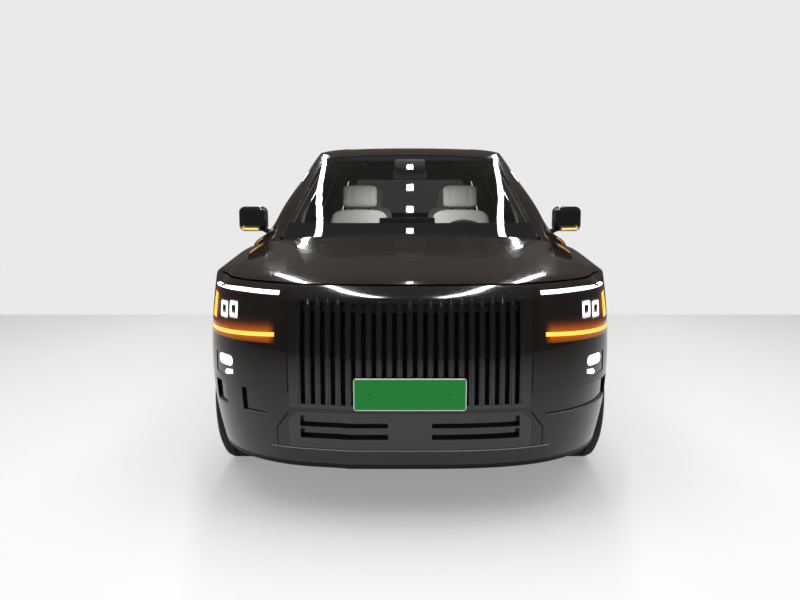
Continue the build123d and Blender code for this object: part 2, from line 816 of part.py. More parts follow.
# ---- running gear ----
def tyre(side, d):
    r, w = tyre_radius, tyre_width / 2
    bead = rim_radius + 0.3
    prof = [(bead, -w + 22), (bead + 12, -w + 6), (bead + 55, -w), (r - 34, -w + 5), (r - 10, -w + 20), (r, -w + 42)]
    for g in (-62, 0, 62):
        prof += [(r, g - 5), (r - 8, g - 4), (r - 8, g + 4), (r, g + 5)]
    prof += [(a, -b) for a, b in prof[5::-1]]
    prof += [(bead, -w + 22)]
    pts = [(a, 0, b) for a, b in prof]
    f = Face(Wire.make_polygon([Vector(*p) for p in pts], close=True))
    s = revolve(Face(f.outer_wire()), Axis.Z)
    return Pos(side * wheel_x, at(d), axle_z) * Rot(0, 90, 0) * s


spokes = 10


def rim(side, d):
    w = tyre_width / 2 - 22
    b, r = rim_barrel, rim_radius
    prof = [(b, -w - 4), (r + 12, -w - 4), (r + 12, -w + 2), (r, -w + 8), (r, w - 8), (r + 12, w - 2), (r + 12, w + 4),
            (b, w + 4)]
    prof = [(r - 20, -w - 4), (r - 0.5, -w - 4), (r, -w + 8), (r, w - 8), (r - 0.5, w + 4), (r - 20, w + 4)]
    f = Face(Wire.make_polygon([Vector(a, 0, c) for a, c in prof], close=True))
    s = revolve(f, Axis.Z)
    hub = Pos(0, 0, w - 40) * Cylinder(78, 40)
    cap = Pos(0, 0, w - 16) * Cylinder(34, 12)
    bore = Pos(0, 0, w - 60) * Cylinder(24 + running, 60, align=(Align.CENTER, Align.CENTER, Align.CENTER))
    s = s + hub + cap
    for i in range(spokes):
        arm = Plane.XZ * Polyline((60, w - 56), (60, w - 22), (r - 12, w + 1), (r - 12, w - 26), close=True)
        blade = extrude(make_face(arm), 15, both=True)
        s = s + Rot(0, 0, 360 / spokes * i) * blade
    disc_rotor = Pos(0, 0, brake_x) * Cylinder(190, 28) + Pos(0, 0, (brake_x + w - 40) / 2) * Cylinder(70, w - 40 - brake_x)
    s = s + disc_rotor - bore
    s = s - Pos(0, 0, brake_x - 20) * Cylinder(24 + running, 100, align=(Align.CENTER, Align.CENTER, Align.MIN))
    return Pos(side * wheel_x, at(d), axle_z) * (Rot(0, 90, 0) if side > 0 else Rot(0, -90, 0)) * s


brake_x = -30


def knuckle(side):
    x, d, z = kingpin_x, front_axle, axle_z
    s = block(x - 20, x + 14, d - 45, d + 45, z - 130, z + 150)
    s = s + across(x, wheel_x + 55, d, z, 24)
    s = s + block(x + 2, wheel_x - 52, d + 80, d + 190, z - 60, z + 60)
    s = s + block(x - 20, x + 12, d + 30, d + 190, z - 50, z + 50)
    s = s + Pos(x, at(d), z + 170) * Cylinder(12, 44)
    s = s - Pos(x, at(d), z - 125) * Cylinder(12 + running, 60)
    return s if side > 0 else flip(s)


def front_suspension():
    x, y = kingpin_x, at(front_axle)
    low, high = axle_z - 160, axle_z + 168
    s = rod((bay_half - 120, y - 160, low), (x, y, low), 20) + rod((bay_half - 120, y + 220, low), (x, y, low), 20)
    s = s + Pos(x, y, low) * Cylinder(30, 40) + Pos(x, y, low + 27) * Cylinder(12, 40)
    eye = Pos(x, y, high) * Cylinder(24, 30)
    s = s + rod((bay_half, y, high), (x - 10, y, high), 13) + eye
    s = s - Pos(x, y, high) * Cylinder(12 + running, 60)
    s = s + rod((strut_x, y, low), (strut_x, y, 900), strut_radius)
    s = s + block(560, 640, front_axle - 90, front_axle + 110, low - 10, low + 10)
    return both(s) + block(-400, 400, front_axle - 230, front_axle + 290, 190, 240)


def rear_suspension():
    arm = rod((420, at(rear_axle - 420), 260), (740, at(rear_axle), 300), 24)
    up = block(705, 735, rear_axle - 60, rear_axle + 60, 270, 520)
    pin = across(720, wheel_x + 55, rear_axle, axle_z, 24)
    link = rod((300, at(rear_axle), 230), (715, at(rear_axle), 300), 22)
    spring = rod((560, at(rear_axle + 60), 255), (560, at(rear_axle + 60), 560), 55)
    return both(arm + up + pin + link + spring) + block(-440, 440, rear_axle - 460, rear_axle + 300, 200, 245)


def drive_units():
    f = soft_block(-360, 360, front_axle - 210, front_axle + 270, 240, 600, 40)
    r = soft_block(-290, 290, rear_axle - 200, rear_axle + 230, 256, 500, 40)
    return f + r


def battery_pack():
    return soft_block(-battery_half, battery_half, 1560, rear_axle - 620, 185, floor_low, 12)


def front_box():
    return soft_block(-450, 450, 470, cabin_front - 60, 640, 900, 40)


# ---- cabin ----
def dashboard():
    pts = [(1440, 880), (1440, 1130), (1560, 1215), (1700, 1235), (1860, 1180), (1890, 1090), (1800, 960), (1700, 860)]
    s = side_prism(pts, -dash_half, dash_half, 25)
    s = s + block(-140, 140, 1700, 2500, floor_high, 560)
    s = s + block(-140, 140, 1640, 1800, 500, 900)
    column = rod((wheel_side, at(1800), 1010), steering_centre(-75), 32)
    return s + column - rod(steering_centre(-60), steering_centre(20), 12 + running)


dash_half = 735              # clear of the doors' leaning inner faces
wheel_side = 370
column_tilt = 22


def steering_centre(out=0):
    # a point on the steering axis, out millimetres towards the driver
    t = math.radians(column_tilt)
    return (wheel_side, at(2010) + out * math.cos(t), 1110 + out * math.sin(t))


def steering_plane(out=0):
    t = math.radians(column_tilt)
    return Plane(origin=steering_centre(out), x_dir=(1, 0, 0), z_dir=(0, math.cos(t), math.sin(t)))


def steering_wheel():
    p = steering_plane()
    s = p * Torus(178, 15)
    s = s + p * Pos(0, 0, -14) * Cylinder(60, 36)
    s = s + p * Pos(0, 0, -14) * Box(340, 34, 14)
    s = s + p * Pos(0, 90, -14) * Box(34, 160, 14)
    return s + p * Pos(0, 0, -40) * Cylinder(12, 50)


def screen():
    stand = block(-60, 40, 1850, 1906, 1100, 1180) - dashboard()
    return main_solid(soft_block(-210, 170, 1905, 1925, 1040, 1300, 6) + main_solid(stand))


def seat(x, d, w, base, top, lean_deg=22):
    # cushion, back and head restraint
    cushion = soft_block(x - w / 2, x + w / 2, d, d + 500, base, base + 170, 50)
    back = Pos(x, at(d + 500), base + 120) * Rot(-lean_deg, 0, 0) * Pos(0, 0, 310) * Box(w, 130, 640)
    back = back.fillet(50, back.edges())
    head = Pos(x, at(d + 500 + (top - base - 120) * math.tan(math.radians(lean_deg)) * 0.92), top - 95)
    head = head * Rot(-12, 0, 0) * Box(w * 0.56, 100, 190)
    head = head.fillet(42, head.edges())
    return cushion + back + head


def front_seats():
    s = []
    for x in (-415, 415):
        s.append(seat(x, 2130, 540, 480, 1540))
        s.append(block(x - 200, x + 200, 2160, 2560, floor_high, 482))
    return sum(s[1:], s[0])


def rear_seats():
    s = seat(-400, 2960, 540, 500, 1520) + seat(400, 2960, 540, 500, 1520)
    s = s + both(block(220, 580, 2990, 3380, floor_high, 502))
    third = soft_block(-560, 560, 3850, 4300, 590, 760, 50)
    back = Pos(0, at(4300), 700) * Rot(-20, 0, 0) * Pos(0, 0, 280) * Box(1120, 110, 560)
    back = back.fillet(45, back.edges())
    return s + third + back


def mirror_piece():
    head = Pos(1025, at(1725), 1298) * Box(176, 130, 160)
    head = head.fillet(38, head.edges())
    arm = Pos(940, at(1715), 1222) * Rot(0, -28, 0) * Box(110, 60, 26)
    near = block(700, 1200, 1500, 2000, 1000, 1600)
    return main_solid(head + arm - (lower_body(0) & near) - (upper_body(0) & near))


def build_all():
    left = {
        "fenders": fenders,
        "front_bumper": front_bumper,
        "front_skirt": front_skirt,
        "grille": grille,
        "lower_grille": lower_grille,
        "front_plate": front_plate,
        "headlamps": headlamps,
        "lower_lamps": lower_lamps,
        "hood": hood,
        "cowl": cowl,
        "wipers": wipers,
        "front_structure": front_structure,
        "front_box": front_box,
        "floor_pan": floor_pan,
        "battery_pack": battery_pack,
        "drive_units": drive_units,
        "front_suspension": front_suspension,
        "rear_suspension": rear_suspension,
        "arch_liners": arch_liners,
        "roof": roof_frame,
        "roof_glass": roof_glass,
        "windshield": windshield,
        "quarter_glass": lambda: both(window_glass(quarter_window, False)),
        "rear_bumper": rear_bumper,
        "tail_lamps": lambda: both(tail_lamps()),
        "tailgate": tailgate,
        "tailgate_glass": tailgate_glass,
        "tail_lamp_bar": tail_lamp_bar,
        "dashboard": dashboard,
        "screen": screen,
        "steering_wheel": steering_wheel,
        "front_seats": front_seats,
        "rear_seats": rear_seats,
    }
    for name, make in left.items():
        yield name, make()
    pairs = {
        "side_frame": side_frame,
        "door_front": lambda: door_shell(front_door, front_window),
        "door_rear": lambda: door_shell(rear_door, rear_window, True),
        "glass_front": lambda: window_glass(front_window),
        "glass_rear": lambda: window_glass(rear_window),
        "mirror": mirror_piece,
        "knuckle": lambda: knuckle(1),
        "tyre_front": lambda: tyre(1, front_axle),
        "tyre_rear": lambda: tyre(1, rear_axle),
        "rim_front": lambda: rim(1, front_axle),
        "rim_rear": lambda: rim(1, rear_axle),
    }
    for name, make in pairs.items():
        s = make()
        yield name + "_left", s
        yield name + "_right", flip(s)


os.makedirs("parts", exist_ok=True)
for name, solid in build_all():
    solids = solid.solids()
    piece = solids[0] if len(solids) == 1 else Compound(children=list(solids))
    export_step(piece, "parts/" + name + ".step", write_pcurves=False)
    print(name, len(solids), round(sum(p.volume for p in solids) / 1e9, 4))
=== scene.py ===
import json
import math
import bmesh
import bpy
from mathutils import Matrix, Vector
from mathutils.bvhtree import BVHTree


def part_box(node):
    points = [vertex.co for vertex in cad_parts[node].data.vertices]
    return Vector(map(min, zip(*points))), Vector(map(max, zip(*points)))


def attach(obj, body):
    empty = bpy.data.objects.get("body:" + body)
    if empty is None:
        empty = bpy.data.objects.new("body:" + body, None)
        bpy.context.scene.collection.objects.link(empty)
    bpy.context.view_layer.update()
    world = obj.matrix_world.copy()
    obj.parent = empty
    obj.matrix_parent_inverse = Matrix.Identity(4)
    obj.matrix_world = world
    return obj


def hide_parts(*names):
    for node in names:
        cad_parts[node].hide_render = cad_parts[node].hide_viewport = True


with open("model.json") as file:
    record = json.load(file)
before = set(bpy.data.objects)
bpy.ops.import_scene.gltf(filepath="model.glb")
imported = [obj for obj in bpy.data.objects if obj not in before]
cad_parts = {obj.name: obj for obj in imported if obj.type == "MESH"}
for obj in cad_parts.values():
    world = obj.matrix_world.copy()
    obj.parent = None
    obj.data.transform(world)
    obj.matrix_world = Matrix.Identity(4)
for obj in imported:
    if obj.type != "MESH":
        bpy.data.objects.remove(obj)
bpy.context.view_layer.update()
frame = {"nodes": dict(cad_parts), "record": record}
print("frame loaded:", len(frame["nodes"]), "nodes")

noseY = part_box("front_bumper")[0][1]      # foremost painted surface


def back(distance):
    # y of a place so many metres behind the bumper face
    return noseY + distance


def middleOf(node):
    # centre of a frame node's box
    low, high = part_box(node)
    return tuple((low[i] + high[i]) / 2 for i in range(3))


# shader groups
def newGroup(name, inputs, outputs):
    group = bpy.data.node_groups.new(name, "ShaderNodeTree")
    for label, kind, default in inputs:
        socket = group.interface.new_socket(label, in_out="INPUT", socket_type=kind)
        socket.default_value = default
    for label, kind in outputs:
        group.interface.new_socket(label, in_out="OUTPUT", socket_type=kind)
    return group, group.nodes.new("NodeGroupInput"), group.nodes.new("NodeGroupOutput")


def setSocket(tree, socket, value):
    # takes a colour, a number or another node's output
    if isinstance(value, tuple):
        socket.default_value = (*value, 1)
    elif isinstance(value, (int, float)):
        socket.default_value = value
    else:
        tree.links.new(value, socket)


def mathNode(tree, operation, first, second=None, clamp=False):
    node = tree.nodes.new("ShaderNodeMath")
    node.operation = operation
    node.use_clamp = clamp
    setSocket(tree, node.inputs[0], first)
    if second is not None:
        setSocket(tree, node.inputs[1], second)
    return node.outputs[0]


def objectPoint(tree):
    return tree.nodes.new("ShaderNodeTexCoord").outputs["Object"]


def splitVector(tree, vector):
    split = tree.nodes.new("ShaderNodeSeparateXYZ")
    tree.links.new(vector, split.inputs[0])
    return split.outputs


def addNoise(tree, scale, detail=2.0):
    noise = tree.nodes.new("ShaderNodeTexNoise")
    tree.links.new(objectPoint(tree), noise.inputs["Vector"])
    setSocket(tree, noise.inputs["Scale"], scale)
    noise.inputs["Detail"].default_value = detail
    return noise.outputs["Fac"]


def makeGrainGroup():
    # small cells for moulded plastic, leather and rubber
    inputs = [("Scale", "NodeSocketFloat", 900), ("Soften", "NodeSocketFloat", 0.5)]
    group, given, result = newGroup("fineGrain", inputs, [("Height", "NodeSocketFloat")])
    cells = group.nodes.new("ShaderNodeTexVoronoi")
    cells.feature = "SMOOTH_F1"
    group.links.new(objectPoint(group), cells.inputs["Vector"])
    group.links.new(given.outputs["Scale"], cells.inputs["Scale"])
    group.links.new(given.outputs["Soften"], cells.inputs["Smoothness"])
    group.links.new(cells.outputs["Distance"], result.inputs["Height"])
    return group


def makeRippleGroup():
    # slow waviness that paint and glass have
    inputs = [("Scale", "NodeSocketFloat", 60)]
    group, given, result = newGroup("slowRipple", inputs, [("Height", "NodeSocketFloat")])
    group.links.new(addNoise(group, given.outputs["Scale"], detail=1.5), result.inputs["Height"])
    return group


def makeDustGroup():
    # road dust that thins out with height
    inputs = [("Top", "NodeSocketFloat", 0.35), ("Amount", "NodeSocketFloat", 0.3)]
    group, given, result = newGroup("roadDust", inputs, [("Mask", "NodeSocketFloat")])
    height = mathNode(group, "DIVIDE", splitVector(group, objectPoint(group))["Z"], given.outputs["Top"])
    low = mathNode(group, "SUBTRACT", 1, height, clamp=True)
    patches = mathNode(group, "MULTIPLY", low, addNoise(group, scale=14, detail=5))
    group.links.new(mathNode(group, "MULTIPLY", patches, given.outputs["Amount"]), result.inputs["Mask"])
    return group


def makeInsideGroup():
    # 1 on the faces that look into the cabin, 0 on the outer skin and the shut faces
    inputs = [("Middle height", "NodeSocketFloat", 0.9), ("Limit", "NodeSocketFloat", -0.22)]
    group, given, result = newGroup("cabinSide", inputs, [("Mask", "NodeSocketFloat")])
    coord = group.nodes.new("ShaderNodeTexCoord")
    place = splitVector(group, coord.outputs["Object"])
    facing = splitVector(group, coord.outputs["Normal"])
    sideways = mathNode(group, "MULTIPLY", place["X"], facing["X"])
    height = mathNode(group, "SUBTRACT", place["Z"], given.outputs["Middle height"])
    upward = mathNode(group, "MULTIPLY", height, facing["Z"])
    total = mathNode(group, "ADD", sideways, upward)
    group.links.new(mathNode(group, "LESS_THAN", total, given.outputs["Limit"]), result.inputs["Mask"])
    return group


def makeAboveGroup():
    # 1 above a height, with a soft edge
    inputs = [("Height", "NodeSocketFloat", 0.35), ("Edge", "NodeSocketFloat", 0.002)]
    group, given, result = newGroup("aboveHeight", inputs, [("Mask", "NodeSocketFloat")])
    rise = mathNode(group, "SUBTRACT", splitVector(group, objectPoint(group))["Z"], given.outputs["Height"])
    mask = mathNode(group, "DIVIDE", rise, given.outputs["Edge"], clamp=True)
    group.links.new(mask, result.inputs["Mask"])
    return group


def makeHaloGroup():
    # soft glow about a slanting line, the same on both sides of the middle
    defaults = {"Height": 0.87, "Slope": -0.05, "Inner": 0.6, "Outer": 0.96, "Spread": 0.03}
    inputs = [(label, "NodeSocketFloat", value) for label, value in defaults.items()]
    group, given, result = newGroup("lampHalo", inputs, [("Mask", "NodeSocketFloat")])
    height, slope, innerEnd, outerEnd, spread = (given.outputs[label] for label in defaults)
    place = splitVector(group, objectPoint(group))
    side = mathNode(group, "ABSOLUTE", place["X"])
    line = mathNode(group, "ADD", height, mathNode(group, "MULTIPLY", slope, side))
    away = mathNode(group, "DIVIDE", mathNode(group, "SUBTRACT", place["Z"], line), spread)
    squared = mathNode(group, "MULTIPLY", away, away)
    bell = mathNode(group, "EXPONENT", mathNode(group, "MULTIPLY", squared, -1))
    inner = mathNode(group, "DIVIDE", mathNode(group, "SUBTRACT", side, innerEnd), spread)
    outer = mathNode(group, "DIVIDE", mathNode(group, "SUBTRACT", outerEnd, side), spread)
    ends = mathNode(group, "MULTIPLY", mathNode(group, "ADD", inner, 1, clamp=True),
                    mathNode(group, "ADD", outer, 1, clamp=True))
    group.links.new(mathNode(group, "MULTIPLY", bell, ends), result.inputs["Mask"])
    return group


shaderGroups = {
    "grain": makeGrainGroup(),
    "ripple": makeRippleGroup(),
    "dust": makeDustGroup(),
    "inside": makeInsideGroup(),
    "above": makeAboveGroup(),
    "halo": makeHaloGroup(),
}


# finishes
def useGroup(tree, key, **values):
    node = tree.nodes.new("ShaderNodeGroup")
    node.node_tree = shaderGroups[key]
    for label, value in values.items():
        node.inputs[label.replace("_", " ")].default_value = value
    return node.outputs[0]


def mixColour(tree, mask, first, second):
    node = tree.nodes.new("ShaderNodeMix")
    node.data_type = "RGBA"
    for slot, value in ((0, mask), (6, first), (7, second)):
        setSocket(tree, node.inputs[slot], value)
    return node.outputs[2]


def mixNumber(tree, mask, first, second):
    node = tree.nodes.new("ShaderNodeMix")
    for slot, value in ((0, mask), (2, first), (3, second)):
        setSocket(tree, node.inputs[slot], value)
    return node.outputs[0]


def shaded(colour, share):
    # the same colour, darker or lighter
    return tuple(part * share for part in colour)


def startMaterial(name):
    material = bpy.data.materials.new(name)
    material.use_nodes = True
    tree = material.node_tree
    return material, tree, tree.nodes["Principled BSDF"]


def addBump(tree, shader, height, depth):
    bump = tree.nodes.new("ShaderNodeBump")
    bump.inputs["Strength"].default_value = 1
    bump.inputs["Distance"].default_value = depth
    tree.links.new(height, bump.inputs["Height"])
    tree.links.new(bump.outputs[0], shader.inputs["Normal"])


paintSettings = {
    "colour": (0.011, 0.0075, 0.0060),
    "gloss": (0.14, 0.4),           # roughness where clean, and under dust
    "specular": 0.2,
    "coatRoughness": 0.02,
    "rippleScale": 45,
    "ripple": 0.00004,
    "dust": 0.05,
    "dustTop": 0.55,
    "dustColour": (0.20, 0.18, 0.16),
    "cladding": (0.010, 0.010, 0.010),
    "claddingRoughness": 0.35,
    "claddingTop": 0.27,
    "trim": (0.23, 0.235, 0.22),    # on the cabin side
    "trimRoughness": 0.75,
    "middle": 0.9,
}


def bodyPaint(name, settings):
    # clear-coated black outside, soft trim on the cabin side
    material, tree, shader = startMaterial(name)
    inside = useGroup(tree, "inside", Middle_height=settings["middle"])
    dust = useGroup(tree, "dust", Top=settings["dustTop"], Amount=settings["dust"])
    painted = useGroup(tree, "above", Height=settings["claddingTop"])
    outer = mixColour(tree, dust, settings["colour"], settings["dustColour"])
    outer = mixColour(tree, painted, settings["cladding"], outer)
    tree.links.new(mixColour(tree, inside, outer, settings["trim"]), shader.inputs["Base Color"])
    gloss = mixNumber(tree, painted, settings["claddingRoughness"], mixNumber(tree, dust, *settings["gloss"]))
    tree.links.new(mixNumber(tree, inside, gloss, settings["trimRoughness"]), shader.inputs["Roughness"])
    coat = mathNode(tree, "MULTIPLY", mathNode(tree, "SUBTRACT", 1, inside), painted)
    tree.links.new(coat, shader.inputs["Coat Weight"])
    shader.inputs["Coat Roughness"].default_value = settings["coatRoughness"]
    shader.inputs["Specular IOR Level"].default_value = settings["specular"]
    addBump(tree, shader, useGroup(tree, "ripple", Scale=settings["rippleScale"]), settings["ripple"])
    return material


# what each finish has unless it says otherwise
commonSettings = {
    "shade": 0.85,
    "patchScale": 9,
    "patchDetail": 4,
    "roughnessSpread": (0.85, 1.12),
    "metallic": 0,
    "coat": 0,
    "coatRoughness": 0.05,
    "sheen": 0,
    "grainDepth": 0,
    "grainSoften": 0.6,
    "dust": 0,
    "dustTop": 0.5,
    "dustColour": (0.33, 0.31, 0.28),
}
finishSettings = {
    "structure": {"colour": (0.03, 0.03, 0.032), "roughness": 0.5, "grain": 300, "grainDepth": 0.0002,
                  "dust": 0.3},
    "black_trim": {"colour": (0.010, 0.009, 0.009), "roughness": 0.12, "coat": 1.0, "shade": 0.9},
    "dark_plastic": {"colour": (0.014, 0.014, 0.014), "roughness": 0.55, "grain": 700, "grainDepth": 0.0003,
                     "dust": 0.2},
    # dark chrome, lighter than the glossy black bars: modelled ridges whose colour is painted highlight along
    # the bars
    "fin": {"colour": (0.10, 0.092, 0.088), "roughness": 0.18, "metallic": 0.9, "coat": 0.5},
    # near-black and dull: painted shade in the grille's slots, and the dark shut lines of seams and flaps
    "slot": {"colour": (0.0015, 0.0015, 0.0015), "roughness": 0.9},
    "running_gear": {"colour": (0.10, 0.10, 0.10), "roughness": 0.6, "metallic": 0.6, "grain": 260,
                     "grainDepth": 0.0004, "dust": 0.6, "shade": 0.6},
    "machine_case": {"colour": (0.33, 0.33, 0.34), "roughness": 0.45, "metallic": 0.8, "grain": 350,
                     "grainDepth": 0.0002, "dust": 0.4},
    "rim": {"colour": (0.50, 0.50, 0.52), "roughness": 0.25, "metallic": 0.9, "coat": 0.6, "dust": 0.15,
            "shade": 0.9},
    "seat": {"colour": (0.40, 0.42, 0.385), "roughness": 0.55, "grain": 420, "grainDepth": 0.0004,
             "sheen": 0.15, "shade": 0.9},
    "dash": {"colour": (0.045, 0.043, 0.042), "roughness": 0.6, "grain": 800, "grainDepth": 0.0003},
    "screen": {"colour": (0.006, 0.006, 0.008), "roughness": 0.06, "coat": 1.0},
    "red_lamp": {"colour": (0.22, 0.006, 0.008), "roughness": 0.1, "coat": 1.0, "shade": 0.75,
                 "patchScale": 40},
}


def mouldedPart(name, values):
    # plastics, leather, metal and castings: base colour with patches, grain and dust
    settings = {**commonSettings, **values}
    material, tree, shader = startMaterial(name)
    patches = addNoise(tree, settings["patchScale"], settings["patchDetail"])
    colour = mixColour(tree, patches, shaded(settings["colour"], settings["shade"]), settings["colour"])
    if settings["dust"]:
        dust = useGroup(tree, "dust", Top=settings["dustTop"], Amount=settings["dust"])
        colour = mixColour(tree, dust, colour, settings["dustColour"])
    tree.links.new(colour, shader.inputs["Base Color"])
    smoothest, roughest = (min(1, settings["roughness"] * share) for share in settings["roughnessSpread"])
    tree.links.new(mixNumber(tree, patches, smoothest, roughest), shader.inputs["Roughness"])
    shader.inputs["Metallic"].default_value = settings["metallic"]
    shader.inputs["Coat Weight"].default_value = settings["coat"]
    shader.inputs["Coat Roughness"].default_value = settings["coatRoughness"]
    shader.inputs["Sheen Weight"].default_value = settings["sheen"]
    if settings["grainDepth"]:
        grain = useGroup(tree, "grain", Scale=settings["grain"], Soften=settings["grainSoften"])
        addBump(tree, shader, grain, settings["grainDepth"])
    return material


paneSettings = {
    "windshield": {"tint": (0.80, 0.86, 0.82), "alpha": 0.045, "metallic": 1.0, "clearLow": 1.278,
                   "clearHigh": 1.700, "lowHalf": 0.792, "topHalf": 0.622},
    "glass": {"tint": (0.60, 0.66, 0.62), "alpha": 0.07, "metallic": 1.0},
    "dark_glass": {"tint": (0.02, 0.022, 0.022), "alpha": 0.80, "metallic": 0.0},
}
# a pane with these has no printed border
noBorder = {"clearLow": -1, "clearHigh": 9, "lowHalf": 9, "topHalf": 9}
glassSettings = {
    "ior": 1.5,
    "roughness": 0.02,
    "border": (0.008, 0.008, 0.009),
    "rippleScale": 3,
    "shade": 0.94,
    "steepness": 5,         # how late the mirroring sets in as the view slants
}


def clearGlass(name, values):
    # tinted laminated glass with a printed black border
    settings = {**noBorder, **values}
    material, tree, shader = startMaterial(name)
    place = splitVector(tree, objectPoint(tree))
    side = mathNode(tree, "ABSOLUTE", place["X"])
    bottom = mathNode(tree, "LESS_THAN", place["Z"], settings["clearLow"])
    top = mathNode(tree, "GREATER_THAN", place["Z"], settings["clearHigh"])
    slope = (settings["topHalf"] - settings["lowHalf"]) / (settings["clearHigh"] - settings["clearLow"])
    reach = mathNode(tree, "MULTIPLY", mathNode(tree, "SUBTRACT", place["Z"], settings["clearLow"]), slope)
    edge = mathNode(tree, "GREATER_THAN", side, mathNode(tree, "ADD", reach, settings["lowHalf"]))
    border = mathNode(tree, "MAXIMUM", mathNode(tree, "MAXIMUM", bottom, top), edge)
    # the panes only mirror, more so at a glancing angle: the cabin is seen through the rest
    layer = tree.nodes.new("ShaderNodeLayerWeight")
    layer.inputs["Blend"].default_value = 0.5
    steep = mathNode(tree, "POWER", layer.outputs["Facing"], glassSettings["steepness"])
    mirror = mathNode(tree, "ADD", steep, settings["alpha"], clamp=True)
    ripple = useGroup(tree, "ripple", Scale=glassSettings["rippleScale"])
    tint = mixColour(tree, ripple, settings["tint"], shaded(settings["tint"], glassSettings["shade"]))
    tree.links.new(mixColour(tree, border, tint, glassSettings["border"]), shader.inputs["Base Color"])
    tree.links.new(mathNode(tree, "MAXIMUM", border, mirror), shader.inputs["Alpha"])
    metallic = mathNode(tree, "MULTIPLY", mathNode(tree, "SUBTRACT", 1, border), settings["metallic"])
    tree.links.new(metallic, shader.inputs["Metallic"])
    shader.inputs["IOR"].default_value = glassSettings["ior"]
    shader.inputs["Roughness"].default_value = glassSettings["roughness"]
    return material


lampSmoke = {
    "colour": (0.012, 0.009, 0.008),
    "shade": 0.7,
    "roughness": (0.05, 0.09),
    "coatRoughness": 0.02,
    "glow": (1.0, 0.20, 0.012),
    "strength": 0.6,
    "bar": {"Height": 0.874, "Slope": -0.053, "Inner": 0.620, "Outer": 0.970, "Spread": 0.033},
    "upright": {"Height": 0.935, "Slope": 0.0, "Inner": 0.925, "Outer": 0.970, "Spread": 0.05},
}


def lampCover(name, settings):
    # smoked cover that scatters the amber light round its guides
    material, tree, shader = startMaterial(name)
    halo = useGroup(tree, "halo", **settings["bar"])
    upright = useGroup(tree, "halo", **settings["upright"])
    patches = addNoise(tree, scale=30)
    smoke = mixColour(tree, patches, shaded(settings["colour"], settings["shade"]), settings["colour"])
    tree.links.new(smoke, shader.inputs["Base Color"])
    shader.inputs["Emission Color"].default_value = (*settings["glow"], 1)
    strength = mathNode(tree, "MULTIPLY", mathNode(tree, "MAXIMUM", halo, upright), settings["strength"])
    tree.links.new(strength, shader.inputs["Emission Strength"])
    tree.links.new(mixNumber(tree, patches, *settings["roughness"]), shader.inputs["Roughness"])
    shader.inputs["Coat Weight"].default_value = 1
    shader.inputs["Coat Roughness"].default_value = settings["coatRoughness"]
    return material


glowSettings = {
    "white": {"colour": (1.0, 0.98, 0.95), "strength": 3.0},
    "amber": {"colour": (1.0, 0.46, 0.06), "strength": 1.5},
    "beam": {"colour": (0.95, 0.97, 1.0), "strength": 1.6},
}


def lampGlow(name, settings):
    # light guide with small uneven spots
    material, tree, shader = startMaterial(name)
    spots = addNoise(tree, scale=160)
    colour = mixColour(tree, spots, shaded(settings["colour"], 0.8), settings["colour"])
    tree.links.new(colour, shader.inputs["Base Color"])
    tree.links.new(colour, shader.inputs["Emission Color"])
    shader.inputs["Emission Strength"].default_value = settings["strength"]
    shader.inputs["Roughness"].default_value = 0.2
    return material


plateSettings = {
    "colour": (0.0, 0.32, 0.035),
    "shade": 0.93,
    "roughness": (0.28, 0.4),
    "borderColour": (0.85, 0.88, 0.86),
    "height": 0.602,
    "half": (0.24, 0.07),
    "border": 0.004,
}


def plateSheet(name, settings):
    # painted sheet with a thin white border line
    material, tree, shader = startMaterial(name)
    place = splitVector(tree, objectPoint(tree))
    side = mathNode(tree, "ABSOLUTE", place["X"])
    rise = mathNode(tree, "ABSOLUTE", mathNode(tree, "SUBTRACT", place["Z"], settings["height"]))
    nearSide = mathNode(tree, "GREATER_THAN", side, settings["half"][0] - settings["border"])
    nearEdge = mathNode(tree, "GREATER_THAN", rise, settings["half"][1] - settings["border"])
    border = mathNode(tree, "MAXIMUM", nearSide, nearEdge)
    patches = addNoise(tree, scale=25)
    sheet = mixColour(tree, patches, shaded(settings["colour"], settings["shade"]), settings["colour"])
    tree.links.new(mixColour(tree, border, sheet, settings["borderColour"]), shader.inputs["Base Color"])
    tree.links.new(mixNumber(tree, patches, *settings["roughness"]), shader.inputs["Roughness"])
    return material


tyreSettings = {
    "sidewall": (0.012, 0.012, 0.012),
    "tread": (0.024, 0.023, 0.022),
    "roughness": (0.62, 0.82),      # sidewall, tread
    "treadRadius": 0.383,
    "sipeCount": 76,
    "sipeSlant": 60,
    "sipeLimit": 0.88,              # nearer to 1 makes narrower sipes
    "ribWave": 900,
    "ribDepth": 0.12,               # as a share of depth
    "depth": 0.002,
    "dust": 0.35,
    "dustTop": 0.25,
    "dustColour": (0.20, 0.19, 0.17),
}


